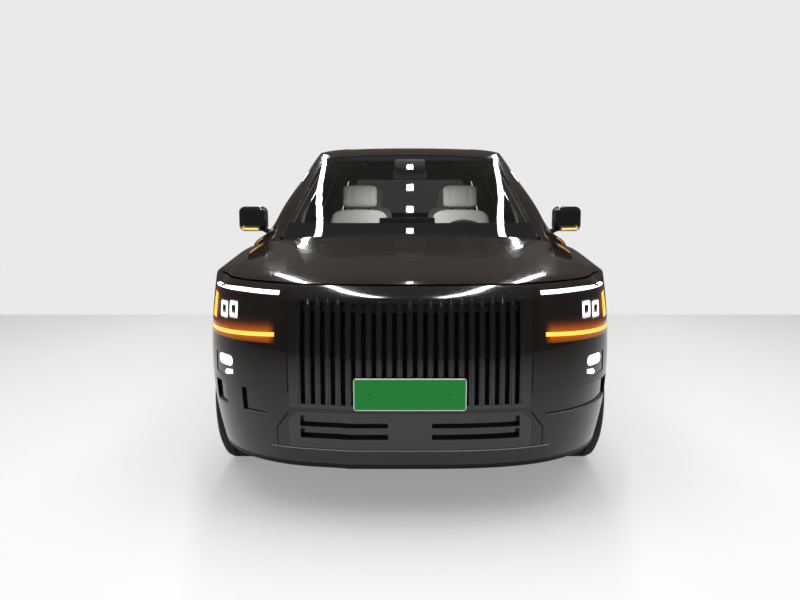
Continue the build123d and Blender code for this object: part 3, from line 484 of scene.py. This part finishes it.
def tyreRubber(name, wheelCentre):
    # dark rubber with fine ribs round the sidewall and sipes across the tread
    settings = tyreSettings
    material, tree, shader = startMaterial(name)
    shift = tree.nodes.new("ShaderNodeMapping")
    shift.inputs["Location"].default_value = shaded(wheelCentre, -1)
    tree.links.new(objectPoint(tree), shift.inputs["Vector"])
    place = splitVector(tree, shift.outputs[0])
    squares = [mathNode(tree, "POWER", place[axis], 2) for axis in ("Y", "Z")]
    radius = mathNode(tree, "SQRT", mathNode(tree, "ADD", *squares))
    angle = mathNode(tree, "ARCTAN2", place["Z"], place["Y"])
    turns = mathNode(tree, "MULTIPLY", angle, settings["sipeCount"])
    slant = mathNode(tree, "MULTIPLY", place["X"], settings["sipeSlant"])
    wave = mathNode(tree, "SINE", mathNode(tree, "ADD", turns, slant))
    sipes = mathNode(tree, "GREATER_THAN", wave, settings["sipeLimit"])
    tread = mathNode(tree, "GREATER_THAN", radius, settings["treadRadius"])
    rings = mathNode(tree, "SINE", mathNode(tree, "MULTIPLY", radius, settings["ribWave"]))
    ribs = mathNode(tree, "MULTIPLY", rings, settings["ribDepth"])
    addBump(tree, shader, mathNode(tree, "SUBTRACT", ribs, mathNode(tree, "MULTIPLY", sipes, tread)),
            settings["depth"])
    dust = useGroup(tree, "dust", Top=settings["dustTop"], Amount=settings["dust"])
    worn = mixColour(tree, tread, settings["sidewall"], settings["tread"])
    tree.links.new(mixColour(tree, dust, worn, settings["dustColour"]), shader.inputs["Base Color"])
    tree.links.new(mixNumber(tree, tread, *settings["roughness"]), shader.inputs["Roughness"])
    return material


finishes = {key: mouldedPart(key, values) for key, values in finishSettings.items()}
finishes["paint"] = bodyPaint("blackPaint", paintSettings)
finishes["lamp"] = lampCover("lampCover", lampSmoke)
finishes["windshield"] = clearGlass("windshieldGlass", paneSettings["windshield"])
finishes["glass"] = clearGlass("sideGlass", paneSettings["glass"])
finishes["dark_glass"] = clearGlass("privacyGlass", paneSettings["dark_glass"])
finishes["plate"] = plateSheet("frontPlateSheet", plateSettings)
for tone, values in glowSettings.items():
    finishes[tone] = lampGlow(tone + "Glow", values)
print("finishes made:", len(finishes))

# nodes with another finish than their slot's
finishOf = {"windshield": "windshield", "lower_grille": "black_trim", "lower_lamps": "black_trim"}
slotOf = {entry["node"]: entry["material_slot"] for entry in frame["record"]["subparts"]}
for node, part in frame["nodes"].items():
    if node.startswith("tyre"):
        finish = tyreRubber(node + "Rubber", middleOf(node))
    else:
        finish = finishes[finishOf.get(node, slotOf[node])]
    part.data.materials.clear()
    part.data.materials.append(finish)
print("frame dressed")


# making pieces
def makePiece(name, bm, finish, body):
    for face in bm.faces:
        face.smooth = True
    mesh = bpy.data.meshes.new(name)
    bm.to_mesh(mesh)
    bm.free()
    mesh.materials.append(finish)
    piece = bpy.data.objects.new(name, mesh)
    bpy.context.scene.collection.objects.link(piece)
    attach(piece, body)
    return piece


def nodeTree(*names):
    # searchable surface of some frame nodes
    bm = bmesh.new()
    for name in names:
        bm.from_mesh(frame["nodes"][name].data)
    return BVHTree.FromBMesh(bm)


# the two axes of each view's outlines, and the way it looks
viewAxes = {
    "front": ((1, 0, 0), (0, 0, 1), (0, 1, 0)),
    "rear": ((-1, 0, 0), (0, 0, 1), (0, -1, 0)),
    "left": ((0, 1, 0), (0, 0, 1), (-1, 0, 0)),
    "right": ((0, -1, 0), (0, 0, 1), (1, 0, 0)),
}
castFrom = 6        # further out than any part of the car
nearFrom = 2        # where a ray that missed looks for the nearest place instead


def cutOutline(outline, step):
    # flat face cut into cells no larger than step, so that it can follow a curve
    flat = bmesh.new()
    corners = [flat.verts.new((a, b, 0)) for a, b in outline]
    flat.faces.new(corners)
    for axis in (0, 1):
        reach = [corner.co[axis] for corner in corners]
        low, high = min(reach), max(reach)
        count = int((high - low) / step)
        for i in range(1, count + 1):
            point = [0, 0, 0]
            normal = [0, 0, 0]
            point[axis] = low + (high - low) * i / (count + 1)
            normal[axis] = 1
            bmesh.ops.bisect_plane(flat, geom=flat.verts[:] + flat.edges[:] + flat.faces[:], plane_co=point,
                                   plane_no=normal, dist=1e-6)
    bmesh.ops.recalc_face_normals(flat, faces=flat.faces[:])
    if sum(face.normal.z for face in flat.faces) < 0:
        bmesh.ops.reverse_faces(flat, faces=flat.faces[:])
    return flat


def skinPatch(bm, tree, outline, view, proud, sunk, step=0.02):
    # adds a thin closed panel that follows the surface; outline is in the view's own two axes
    sideways, up, inward = (Vector(axis) for axis in viewAxes[view])
    flat = cutOutline([(a * sum(sideways), b) for a, b in outline], step)
    outer, inner = {}, {}
    for vert in flat.verts:
        start = sideways * vert.co.x + up * vert.co.y - inward * castFrom
        hit = tree.ray_cast(start, inward)[0]
        if hit is None:
            hit = tree.find_nearest(start + inward * (castFrom - nearFrom))[0]
        outer[vert] = bm.verts.new(hit - inward * proud)
        inner[vert] = bm.verts.new(hit + inward * sunk)
    for face in flat.faces:
        bm.faces.new([outer[vert] for vert in face.verts])
        bm.faces.new([inner[vert] for vert in reversed(face.verts)])
    for edge in flat.edges:
        if len(edge.link_faces) == 1:
            loop = edge.link_loops[0]
            first, second = loop.vert, loop.link_loop_next.vert
            bm.faces.new([outer[second], outer[first], inner[first], inner[second]])
    flat.free()


def roundedBox(bm, centre, size, radius, cuts=3):
    # box with rounded edges
    made = bmesh.ops.create_cube(bm, size=1)["verts"]
    for vert in made:
        vert.co = Vector([part * wide for part, wide in zip(vert.co, size)])
    edges = {edge for vert in made for edge in vert.link_edges}
    rounded = bmesh.ops.bevel(bm, geom=list(edges), offset=radius, segments=cuts, affect="EDGES", profile=0.5)
    verts = {vert for face in rounded["faces"] for vert in face.verts}
    verts |= {vert for vert in made if vert.is_valid}
    for vert in verts:
        vert.co = vert.co + Vector(centre)


def rectangle(x, z, wide, high):
    # outline about a middle, from its half width and half height
    return [(x - wide, z - high), (x + wide, z - high), (x + wide, z + high), (x - wide, z + high)]


def mirrored(outline, side):
    return [(a * side, b) for a, b in outline]


def roundedOutline(x, z, wide, high, share, steps=4):
    # rectangle with round corners, as an outline for skinPatch
    radius = min(wide, high) * share
    points = []
    for quarter, (right, up) in enumerate(((1, 1), (-1, 1), (-1, -1), (1, -1))):
        for step in range(steps + 1):
            angle = math.radians(90 * quarter + 90 * step / steps)
            points.append((x + right * (wide - radius) + radius * math.cos(angle),
                           z + up * (high - radius) + radius * math.sin(angle)))
    return points


def makePatches(name, tree, outlines, view, values, finish, body):
    # one piece from several thin panels on the same surface
    bm = bmesh.new()
    for outline in outlines:
        skinPatch(bm, tree, outline, view, values["proud"], values["sunk"], values.get("step", 0.02))
    makePiece(name, bm, finish, body)


sides = {"left": 1, "right": -1}


def bothSides(outline):
    return [mirrored(outline, side) for side in sides.values()]


# front lamps
lampSettings = {
    "whiteBar": [(0.571, 1.012), (0.951, 1.020), (0.951, 1.034), (0.571, 1.028)],
    "amberBar": [(0.590, 0.834), (0.968, 0.814), (0.968, 0.832), (0.590, 0.852)],
    "amberSide": [(0.915, 0.872), (0.958, 0.876), (0.948, 0.990), (0.908, 0.986)],
    "beam": roundedOutline(0.846, 0.697, 0.042, 0.024, 0.8),
    "beamUnder": [(0.804, 0.640), (0.804, 0.660), (0.840, 0.656), (0.852, 0.640), (0.846, 0.630)],
    "proud": 0.002,
    "sunk": 0.004,
}
moduleSettings = {
    "middle": (0.826, 0.930),
    "half": (0.02668, 0.042),
    "apart": (0.029, 0.00336),      # each of the two modules from the middle, outwards and down
    "round": 0.35,
    "sunk": 0.004,
    "layers": {                     # size as a share of the module, and how far it stands out
        "lampModuleFrames": (1.0, 0.0012, "rim"),
        "lampModuleBowls": (0.84, 0.0022, "beam"),
        "lampModuleLenses": (0.42, 0.0032, "screen"),
    },
}


def makeFrontLamps():
    upper = nodeTree("headlamps")
    lower = nodeTree("lower_lamps")
    jobs = {"whiteBar": ("white", upper), "amberBar": ("amber", upper), "amberSide": ("amber", upper),
            "beam": ("beam", lower), "beamUnder": ("beam", lower)}
    for label, (tone, tree) in jobs.items():
        makePatches(label, tree, bothSides(lampSettings[label]), "front", lampSettings, finishes[tone], "body")
    x, z = moduleSettings["middle"]
    wide, high = moduleSettings["half"]
    outwards, down = moduleSettings["apart"]
    for name, (share, proud, finish) in moduleSettings["layers"].items():
        outlines = []
        for side in sides.values():
            for i in (-1, 1):
                outline = roundedOutline(x + i * outwards, z - i * down, wide * share, high * share,
                                         moduleSettings["round"])
                outlines.append(mirrored(outline, side))
        values = {"proud": proud, "sunk": moduleSettings["sunk"]}
        makePatches(name, upper, outlines, "front", values, finishes[finish], "body")
    print("front lamps made")


makeFrontLamps()


# geometry node pieces
def newTree(name, inputs):
    tree = bpy.data.node_groups.new(name, "GeometryNodeTree")
    for label, kind, default in inputs:
        socket = tree.interface.new_socket(label, in_out="INPUT", socket_type=kind)
        if default is not None:
            socket.default_value = default
    tree.interface.new_socket("Geometry", in_out="OUTPUT", socket_type="NodeSocketGeometry")
    return tree, tree.nodes.new("NodeGroupInput"), tree.nodes.new("NodeGroupOutput")


def finishTree(tree, given, result, instances):
    solid = tree.nodes.new("GeometryNodeRealizeInstances")
    paint = tree.nodes.new("GeometryNodeSetMaterial")
    tree.links.new(instances, solid.inputs[0])
    tree.links.new(solid.outputs[0], paint.inputs["Geometry"])
    tree.links.new(given.outputs["Finish"], paint.inputs["Material"])
    tree.links.new(paint.outputs[0], result.inputs["Geometry"])


def makeRingTree():
    # small prisms standing on a circle about the X axis
    inputs = [("Count", "NodeSocketInt", 5), ("Circle radius", "NodeSocketFloat", 0.06),
              ("Prism radius", "NodeSocketFloat", 0.011), ("Prism depth", "NodeSocketFloat", 0.02),
              ("Place", "NodeSocketVector", (0, 0, 0)), ("Finish", "NodeSocketMaterial", None)]
    tree, given, result = newTree("prismRing", inputs)
    circle = tree.nodes.new("GeometryNodeMeshCircle")
    prism = tree.nodes.new("GeometryNodeMeshCylinder")
    prism.inputs["Vertices"].default_value = 6
    spread = tree.nodes.new("GeometryNodeInstanceOnPoints")
    turn = tree.nodes.new("GeometryNodeTransform")
    turn.inputs["Rotation"].default_value = (0, math.pi / 2, 0)
    tree.links.new(given.outputs["Count"], circle.inputs["Vertices"])
    tree.links.new(given.outputs["Circle radius"], circle.inputs["Radius"])
    tree.links.new(given.outputs["Prism radius"], prism.inputs["Radius"])
    tree.links.new(given.outputs["Prism depth"], prism.inputs["Depth"])
    tree.links.new(circle.outputs["Mesh"], spread.inputs["Points"])
    tree.links.new(prism.outputs["Mesh"], spread.inputs["Instance"])
    tree.links.new(spread.outputs[0], turn.inputs["Geometry"])
    tree.links.new(given.outputs["Place"], turn.inputs["Translation"])
    finishTree(tree, given, result, turn.outputs[0])
    return tree


geometryTrees = {"ring": makeRingTree()}


def grow(name, key, body, values):
    # runs a geometry tree and keeps its result as a plain mesh
    carrier = bpy.data.objects.new(name + "Carrier", bpy.data.meshes.new(name + "Carrier"))
    bpy.context.scene.collection.objects.link(carrier)
    modifier = carrier.modifiers.new("grow", "NODES")
    tree = geometryTrees[key]
    modifier.node_group = tree
    identifiers = {item.name: item.identifier for item in tree.interface.items_tree if item.in_out == "INPUT"}
    for label, value in values.items():
        modifier[identifiers[label]] = value
    bpy.context.view_layer.update()
    shaped = carrier.evaluated_get(bpy.context.evaluated_depsgraph_get())
    mesh = bpy.data.meshes.new_from_object(shaped)
    carrier.modifiers.remove(modifier)
    bpy.data.objects.remove(carrier)
    mesh.name = name
    piece = bpy.data.objects.new(name, mesh)
    bpy.context.scene.collection.objects.link(piece)
    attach(piece, body)
    return piece


grilleSettings = {
    "gaps": 22,
    "pitch": 0.044,
    "block": {"size": (0.013, 0.006, 0.030), "height": 0.962, "sunk": 0.0005, "radius": 0.0015},
    "slot": {"heights": (0.556, 0.940), "width": 0.0195, "proud": 0.001, "sunk": 0.001, "step": 0.1},
    "fin": {"heights": (0.545, 1.010), "width": 0.004, "tip": 0.02, "proud": 0.004, "sunk": 0.001,
            "step": 0.1},
}


def spread(count, pitch):
    # evenly spaced places about the middle
    return [(i - (count - 1) / 2) * pitch for i in range(count)]


def makeGrilleDetails():
    # near-black patches between the bars as painted shade in the slots, with a block near each one's top, and
    # thin fins along the bars whose light metal colour is painted highlight
    tree = nodeTree("grille")
    gaps = spread(grilleSettings["gaps"], grilleSettings["pitch"])
    bars = spread(grilleSettings["gaps"] + 1, grilleSettings["pitch"])
    block = grilleSettings["block"]
    bm = bmesh.new()
    for x in gaps:
        hit = tree.ray_cast(Vector((x, -castFrom, block["height"])), Vector((0, 1, 0)))[0]
        y = hit.y - block["size"][1] / 2 + block["sunk"]
        roundedBox(bm, (x, y, block["height"]), block["size"], block["radius"], cuts=2)
    makePiece("grilleBlocks", bm, finishes["dark_plastic"], "body")
    # the slots are near-black sheets on the grille face: painted shade standing in for dark openings between
    # the bars
    slot = grilleSettings["slot"]
    low, high = slot["heights"]
    outlines = [rectangle(x, (low + high) / 2, slot["width"] / 2, (high - low) / 2) for x in gaps]
    makePatches("grilleSlotShade", tree, outlines, "front", slot, finishes["slot"], "body")
    # the fins are real ridges, and their light metal colour is painted highlight on the grille bars
    fin = grilleSettings["fin"]
    low, high = fin["heights"]
    half = fin["width"] / 2
    neck = high - fin["tip"]
    outlines = [[(x - half, low), (x + half, low), (x + half, neck), (x, high), (x - half, neck)]
                for x in bars]
    makePatches("grilleFinHighlights", tree, outlines, "front", fin, finishes["fin"], "body")
    print("grille details made")


makeGrilleDetails()

nutSettings = {"Count": 5, "Circle radius": 0.054, "Prism radius": 0.011, "Prism depth": 0.022}
nutReach = 0.098        # from the rim's middle out to the nuts


def makeWheelNuts():
    for end in ("front", "rear"):
        for side, sign in sides.items():
            x, y, z = middleOf(f"rim_{end}_{side}")
            values = {**nutSettings, "Place": (x + sign * nutReach, y, z), "Finish": finishes["running_gear"]}
            grow(f"wheelNuts{end.title()}{side.title()}", "ring", f"{end}_wheel_{side}", values)
    print("wheel nuts made")


makeWheelNuts()

# seats
seatSettings = {
    "front": {"x": 0.415, "start": 2.130, "width": 0.54, "base": 0.480, "top": 1.540},
    "second": {"x": 0.400, "start": 2.960, "width": 0.54, "base": 0.500, "top": 1.520},
    "lean": 22,
    "headLean": 12,
    "hingeBack": 0.5,           # from the cushion's front edge back to the seat back
    "hingeUp": 0.120,           # from the base up to the seat back's foot
    "channels": (-0.5, 0.5),
    "cushion": {"deep": 0.135, "long": 0.49, "middle": (0.25, 0.088), "crown": 0.012},
    "back": {"deep": 0.105, "long": 0.80, "middle": 0.392, "crown": 0.010, "pull": 0.035},
    "head": {"wide": 0.56, "deep": 0.085, "high": 0.185, "down": 0.095, "reach": 0.92, "crown": 0.008},
    "sideGap": 0.02,
    "post": {"apart": 0.14, "size": (0.014, 0.014, 0.12), "down": 0.19, "foot": 0.2, "radius": 0.005},
    "rail": {"size": (0.38, 0.36, 0.10), "behind": 0.235, "down": 0.055, "radius": 0.02},
}
benchSettings = {
    "channels": (-0.34, 0, 0.34),
    "lean": 20,
    "cushion": {"size": (1.10, 0.14, 0.44), "place": (4.075, 0.675), "crown": 0.012},
    "back": {"size": (1.10, 0.09, 0.55), "foot": (4.300, 0.700), "middle": 0.280, "crown": 0.010},
}
padSettings = {"cuts": 15, "squareness": 5.0, "channelDepth": 0.006, "channelWidth": 0.035, "pull": 0.012,
               "fill": 0.85}


def padMesh(name, size, crown, channels, turn, place, pull=padSettings["pull"]):
    # crowned pad: grid box pushed towards a rounded form, with sewn channels down its front
    bm = bmesh.new()
    bmesh.ops.create_cube(bm, size=2)
    bmesh.ops.subdivide_edges(bm, edges=bm.edges[:], cuts=padSettings["cuts"], use_grid_fill=True)
    half = Vector(size) / 2
    power = padSettings["squareness"]
    for vert in bm.verts:
        unit = vert.co.copy()
        length = sum(abs(part) ** power for part in unit) ** (1 / power)
        flat = unit / max(length, 1e-6) * max(abs(part) for part in unit)
        point = Vector([flat[i] * half[i] for i in range(3)])
        u, w = flat[0], flat[2]
        facing = abs(flat[1]) ** 3
        bulge = (1 - min(1, abs(u)) ** 2.5) * (1 - min(1, abs(w)) ** 2.5)
        point.y += math.copysign(crown * bulge, flat[1]) * facing
        point.x -= math.copysign(pull * (1 - abs(w) ** 2), u) * abs(u) ** 4
        for line in channels:
            dent = math.exp(-((u - line) / padSettings["channelWidth"]) ** 2) * padSettings["channelDepth"]
            point.y -= math.copysign(dent, flat[1]) * facing
        vert.co = turn @ point + Vector(place)
    piece = makePiece(name, bm, finishes["seat"], "body")
    smooth = piece.modifiers.new("smooth", "SUBSURF")
    smooth.levels = smooth.render_levels = 1


def tilted(degrees):
    return Matrix.Rotation(math.radians(degrees), 3, "X")


def makeSeat(label, x, values):
    lean = math.radians(seatSettings["lean"])
    leaned = tilted(-seatSettings["lean"])
    channels = seatSettings["channels"]
    width = values["width"] - seatSettings["sideGap"]
    hingeY = back(values["start"] + seatSettings["hingeBack"])
    hingeZ = values["base"] + seatSettings["hingeUp"]
    cushion, rest, head = (seatSettings[part] for part in ("cushion", "back", "head"))
    behind, up = cushion["middle"]
    place = (x, back(values["start"] + behind), values["base"] + up)
    size = (width, cushion["deep"], cushion["long"])
    padMesh(label + "Cushion", size, cushion["crown"], channels, tilted(90), place)
    place = leaned @ Vector((0, 0, rest["middle"])) + Vector((x, hingeY, hingeZ))
    size = (width, rest["deep"], rest["long"])
    padMesh(label + "Back", size, rest["crown"], channels, leaned, place, pull=rest["pull"])
    reach = (values["top"] - hingeZ) * math.tan(lean) * head["reach"]
    place = (x, hingeY + reach, values["top"] - head["down"])
    size = (values["width"] * head["wide"], head["deep"], head["high"])
    padMesh(label + "Head", size, head["crown"], channels, tilted(-seatSettings["headLean"]), place)


def seatFrame(bm, x, values):
    # posts that carry the head restraint, and the base on the floor
    post, rail = seatSettings["post"], seatSettings["rail"]
    reach = (values["top"] - values["base"] - post["foot"]) * math.tan(math.radians(seatSettings["lean"]))
    y = back(values["start"] + seatSettings["hingeBack"] + reach)
    for i in (-0.5, 0.5):
        roundedBox(bm, (x + i * post["apart"], y, values["top"] - post["down"]), post["size"], post["radius"])
    roundedBox(bm, (x, back(values["start"] + rail["behind"]), values["base"] - rail["down"]), rail["size"],
               rail["radius"])


def makeSeats():
    frames = bmesh.new()
    for side, sign in sides.items():
        for row in ("front", "second"):
            values = seatSettings[row]
            makeSeat(row + "Seat" + side.title(), sign * values["x"], values)
            seatFrame(frames, sign * values["x"], values)
    channels = benchSettings["channels"]
    cushion, rest = benchSettings["cushion"], benchSettings["back"]
    distance, z = cushion["place"]
    padMesh("thirdCushion", cushion["size"], cushion["crown"], channels, tilted(90), (0, back(distance), z))
    leaned = tilted(-benchSettings["lean"])
    distance, z = rest["foot"]
    middle = leaned @ Vector((0, 0, rest["middle"])) + Vector((0, back(distance), z))
    padMesh("thirdBack", rest["size"], rest["crown"], channels, leaned, middle)
    framePiece = makePiece("seatFrames", frames, finishes["dark_plastic"], "body")
    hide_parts("front_seats", "rear_seats")
    print("seats made")


makeSeats()

# cabin details
cabinSettings = {               # size, place and edge radius of each block
    "sensorHousing": ((0.22, 0.16, 0.07), (0, 2.29, 1.675), 0.015),
    "mirror": ((0.24, 0.035, 0.065), (0, 2.28, 1.600), 0.012),
    "mirrorStem": ((0.03, 0.02, 0.06), (0, 2.29, 1.645), 0.006),
}


def makeCabin():
    bm = bmesh.new()
    for size, (x, distance, z), radius in cabinSettings.values():
        roundedBox(bm, (x, back(distance), z), size, radius)
    makePiece("innerMirror", bm, finishes["dash"], "body")
    print("cabin details made")


makeCabin()

# outside details
handleSettings = {"front": 2.60, "rear": 3.70, "height": 1.005, "half": (0.10, 0.016),
                  "proud": 0.004, "sunk": 0.004, "step": 0.03}


def makeHandles():
    for end in ("front", "rear"):
        for side in sides:
            outline = rectangle(back(handleSettings[end]), handleSettings["height"], *handleSettings["half"])
            makePatches("handle" + end.title() + side.title(), nodeTree(f"door_{end}_{side}"), [outline], side,
                        handleSettings, finishes["black_trim"], f"{end}_door_{side}")
    print("door handles made")


makeHandles()

seamSettings = {
    "outlines": {
        "corner": [(0.584, 0.330), (0.588, 0.330), (0.588, 0.432), (0.584, 0.432)],
        "slant": [(0.584, 0.428), (0.588, 0.432), (0.532, 0.508), (0.528, 0.504)],
        "shoulder": [(0.528, 0.590), (0.532, 0.590), (0.532, 0.790), (0.528, 0.790)],
    },
    "proud": 0.0006,
    "sunk": 0.002,
    "step": 0.04,
}
# bright metal strip along the dark lip under the lower grille: painted highlight
lipHighlightSettings = {"middle": (0, 0.340), "half": (0.62, 0.0025), "proud": 0.0025, "sunk": 0.002, "step": 0.04}


def makeSeams():
    # shut lines of the bumper's corner covers, and a bright metal strip under the lower grille that is a
    # painted highlight on the dark lip
    tree = nodeTree("front_bumper", "lower_grille", "grille")
    seams = [half for outline in seamSettings["outlines"].values() for half in bothSides(outline)]
    makePatches("bumperSeams", tree, seams, "front", seamSettings, finishes["slot"], "body")
    # painted highlight: a bright metal line where the dark lip catches the light
    lipHighlight = rectangle(*lipHighlightSettings["middle"], *lipHighlightSettings["half"])
    makePatches("lowerLipHighlight", tree, [lipHighlight], "front", lipHighlightSettings, finishes["rim"], "body")
    print("seams made")


makeSeams()

reflectorSettings = {"outline": [(0.600, 0.470), (0.800, 0.478), (0.800, 0.500), (0.600, 0.492)],
                     "proud": 0.002, "sunk": 0.002, "step": 0.04}
valanceSettings = {"outline": [(-0.62, 0.270), (0.62, 0.270), (0.58, 0.360), (-0.58, 0.360)],
                   "proud": 0.0025, "sunk": 0.002, "step": 0.05}
flapSettings = {"distance": 4.420, "height": 0.930, "half": (0.095, 0.080), "line": 0.0022,
                "proud": 0.0005, "sunk": 0.002, "step": 0.05}


def ringOutlines(x, z, wide, high, line):
    # the four thin sides of a rectangular shut line
    return [rectangle(x, z + high, wide, line), rectangle(x, z - high, wide, line),
            rectangle(x - wide, z, line, high), rectangle(x + wide, z, line, high)]


def makeRearDetails():
    tree = nodeTree("rear_bumper")
    makePatches("rearReflectors", tree, bothSides(reflectorSettings["outline"]), "rear", reflectorSettings,
                finishes["red_lamp"], "body")
    makePatches("rearValance", tree, [valanceSettings["outline"]], "rear", valanceSettings,
                finishes["dark_plastic"], "body")
    outlines = ringOutlines(back(flapSettings["distance"]), flapSettings["height"], *flapSettings["half"],
                            flapSettings["line"])
    makePatches("chargeFlapLine", nodeTree("side_frame_left"), outlines, "left", flapSettings,
                finishes["slot"], "body")
    print("rear details made")


makeRearDetails()

mirrorSettings = {"strip": [(0.985, 1.226), (1.105, 1.230), (1.105, 1.242), (0.985, 1.240)],
                  "proud": 0.002, "sunk": 0.003}


def makeMirrorStrips():
    # turn signal light guides in the mirror housings
    for side, sign in sides.items():
        strip = mirrored(mirrorSettings["strip"], sign)
        makePatches("mirrorStrip" + side.title(), nodeTree(f"mirror_{side}"), [strip], "front", mirrorSettings,
                    finishes["amber"], f"front_door_{side}")
    print("mirror strips made")


makeMirrorStrips()


# studio
cameraSettings = {
    "eye": (0.0, -2.90, 1.42),      # across, back from the bumper face, up
    "pitch": 8.13,
    "sensor": 36,
    "lens": 31.5,
    "shiftRight": 10 / 800,
}
floorSettings = {
    "colour": (0.66, 0.66, 0.655),
    "shade": 1.03,
    "roughness": 0.32,
    "glowColour": (1, 1, 0.99),
    "glow": 0.30,                   # seen by the camera alone
    "half": 16,
    "start": -14,
    "end": 5.75,                    # where floor and wall meet, from the bumper face
}
roomSettings = {
    "wallColour": (0.82, 0.82, 0.815),
    "light": 0.45,
    "reflection": (0.085, 0.075, 0.068),
}
lampHeight = 3.6
stripSettings = {"x": 1.15, "distance": 2.85, "size": (0.10, 6.5), "turn": 15, "energy": 70}
spotSettings = {"count": 7, "pitch": 0.26, "size": (0.07, 0.07), "energy": 0.4}
softSettings = {"place": (0, -1.5, 7), "size": (9, 9), "energy": 300}
cabinLampSettings = {"place": (0, 2.50, 1.640), "size": (0.7, 0.3), "energy": 8}


def addAreaLamp(name, place, values, turn=0, inPaint=True):
    light = bpy.data.lights.new(name, "AREA")
    light.shape = "RECTANGLE"
    light.size, light.size_y = values["size"]
    light.energy = values["energy"]
    lamp = bpy.data.objects.new(name, light)
    x, distance, z = place
    lamp.location = (x, back(distance), z)
    lamp.rotation_euler = (0, 0, math.radians(turn))
    lamp.visible_glossy = inPaint       # soft lamps light the car without showing in its paint
    bpy.context.scene.collection.objects.link(lamp)


def makeCamera():
    scene = bpy.context.scene
    camera = bpy.data.objects.new("camera", bpy.data.cameras.new("camera"))
    scene.collection.objects.link(camera)
    x, distance, z = cameraSettings["eye"]
    camera.location = (x, back(distance), z)
    camera.rotation_euler = (math.radians(90 - cameraSettings["pitch"]), 0, 0)
    camera.data.sensor_width = cameraSettings["sensor"]
    camera.data.lens = cameraSettings["lens"]
    camera.data.shift_x = -cameraSettings["shiftRight"]
    scene.camera = camera


def makeFloor():
    material, tree, shader = startMaterial("studioFloor")
    colour = floorSettings["colour"]
    patches = addNoise(tree, scale=0.6)
    tree.links.new(mixColour(tree, patches, colour, shaded(colour, floorSettings["shade"])),
                   shader.inputs["Base Color"])
    shader.inputs["Roughness"].default_value = floorSettings["roughness"]
    seen = tree.nodes.new("ShaderNodeLightPath").outputs["Is Camera Ray"]
    shader.inputs["Emission Color"].default_value = (*floorSettings["glowColour"], 1)
    tree.links.new(mathNode(tree, "MULTIPLY", seen, floorSettings["glow"]), shader.inputs["Emission Strength"])
    bm = bmesh.new()
    half, start, end = floorSettings["half"], back(floorSettings["start"]), back(floorSettings["end"])
    corners = [(-half, start), (half, start), (half, end), (-half, end)]
    bm.faces.new([bm.verts.new((x, y, 0)) for x, y in corners])
    mesh = bpy.data.meshes.new("floor")
    bm.to_mesh(mesh)
    bm.free()
    mesh.materials.append(material)
    floor = bpy.data.objects.new("floor", mesh)
    bpy.context.scene.collection.objects.link(floor)


def addBackground(tree, colour, strength=1):
    node = tree.nodes.new("ShaderNodeBackground")
    node.inputs[0].default_value = (*colour, 1)
    node.inputs[1].default_value = strength
    return node.outputs[0]


def makeRoom():
    # the room as light, as what glossy surfaces mirror, and as the wall behind the car
    world = bpy.data.worlds.new("studio")
    bpy.context.scene.world = world
    world.use_nodes = True
    tree = world.node_tree
    tree.nodes.clear()
    path = tree.nodes.new("ShaderNodeLightPath")
    out = tree.nodes.new("ShaderNodeOutputWorld")
    shown = addBackground(tree, (1, 1, 1), roomSettings["light"])
    rays = {"Is Glossy Ray": roomSettings["reflection"], "Is Camera Ray": roomSettings["wallColour"]}
    for ray, colour in rays.items():
        node = tree.nodes.new("ShaderNodeMixShader")
        tree.links.new(path.outputs[ray], node.inputs[0])
        tree.links.new(shown, node.inputs[1])
        tree.links.new(addBackground(tree, colour), node.inputs[2])
        shown = node.outputs[0]
    tree.links.new(shown, out.inputs[0])


def makeLamps():
    distance = stripSettings["distance"]
    for sign in (-1, 1):
        addAreaLamp("ceilingStrip", (sign * stripSettings["x"], distance, lampHeight), stripSettings,
                    turn=-sign * stripSettings["turn"])
    for i in range(spotSettings["count"]):
        along = distance + (i - spotSettings["count"] / 2) * spotSettings["pitch"]
        addAreaLamp("ceilingSpot", (0, along, lampHeight), spotSettings)
    addAreaLamp("softTop", softSettings["place"], softSettings, inPaint=False)
    addAreaLamp("cabinLamp", cabinLampSettings["place"], cabinLampSettings, inPaint=False)


makeCamera()
makeFloor()
makeRoom()
makeLamps()
bpy.context.scene.view_settings.view_transform = "Standard"
print("studio made")
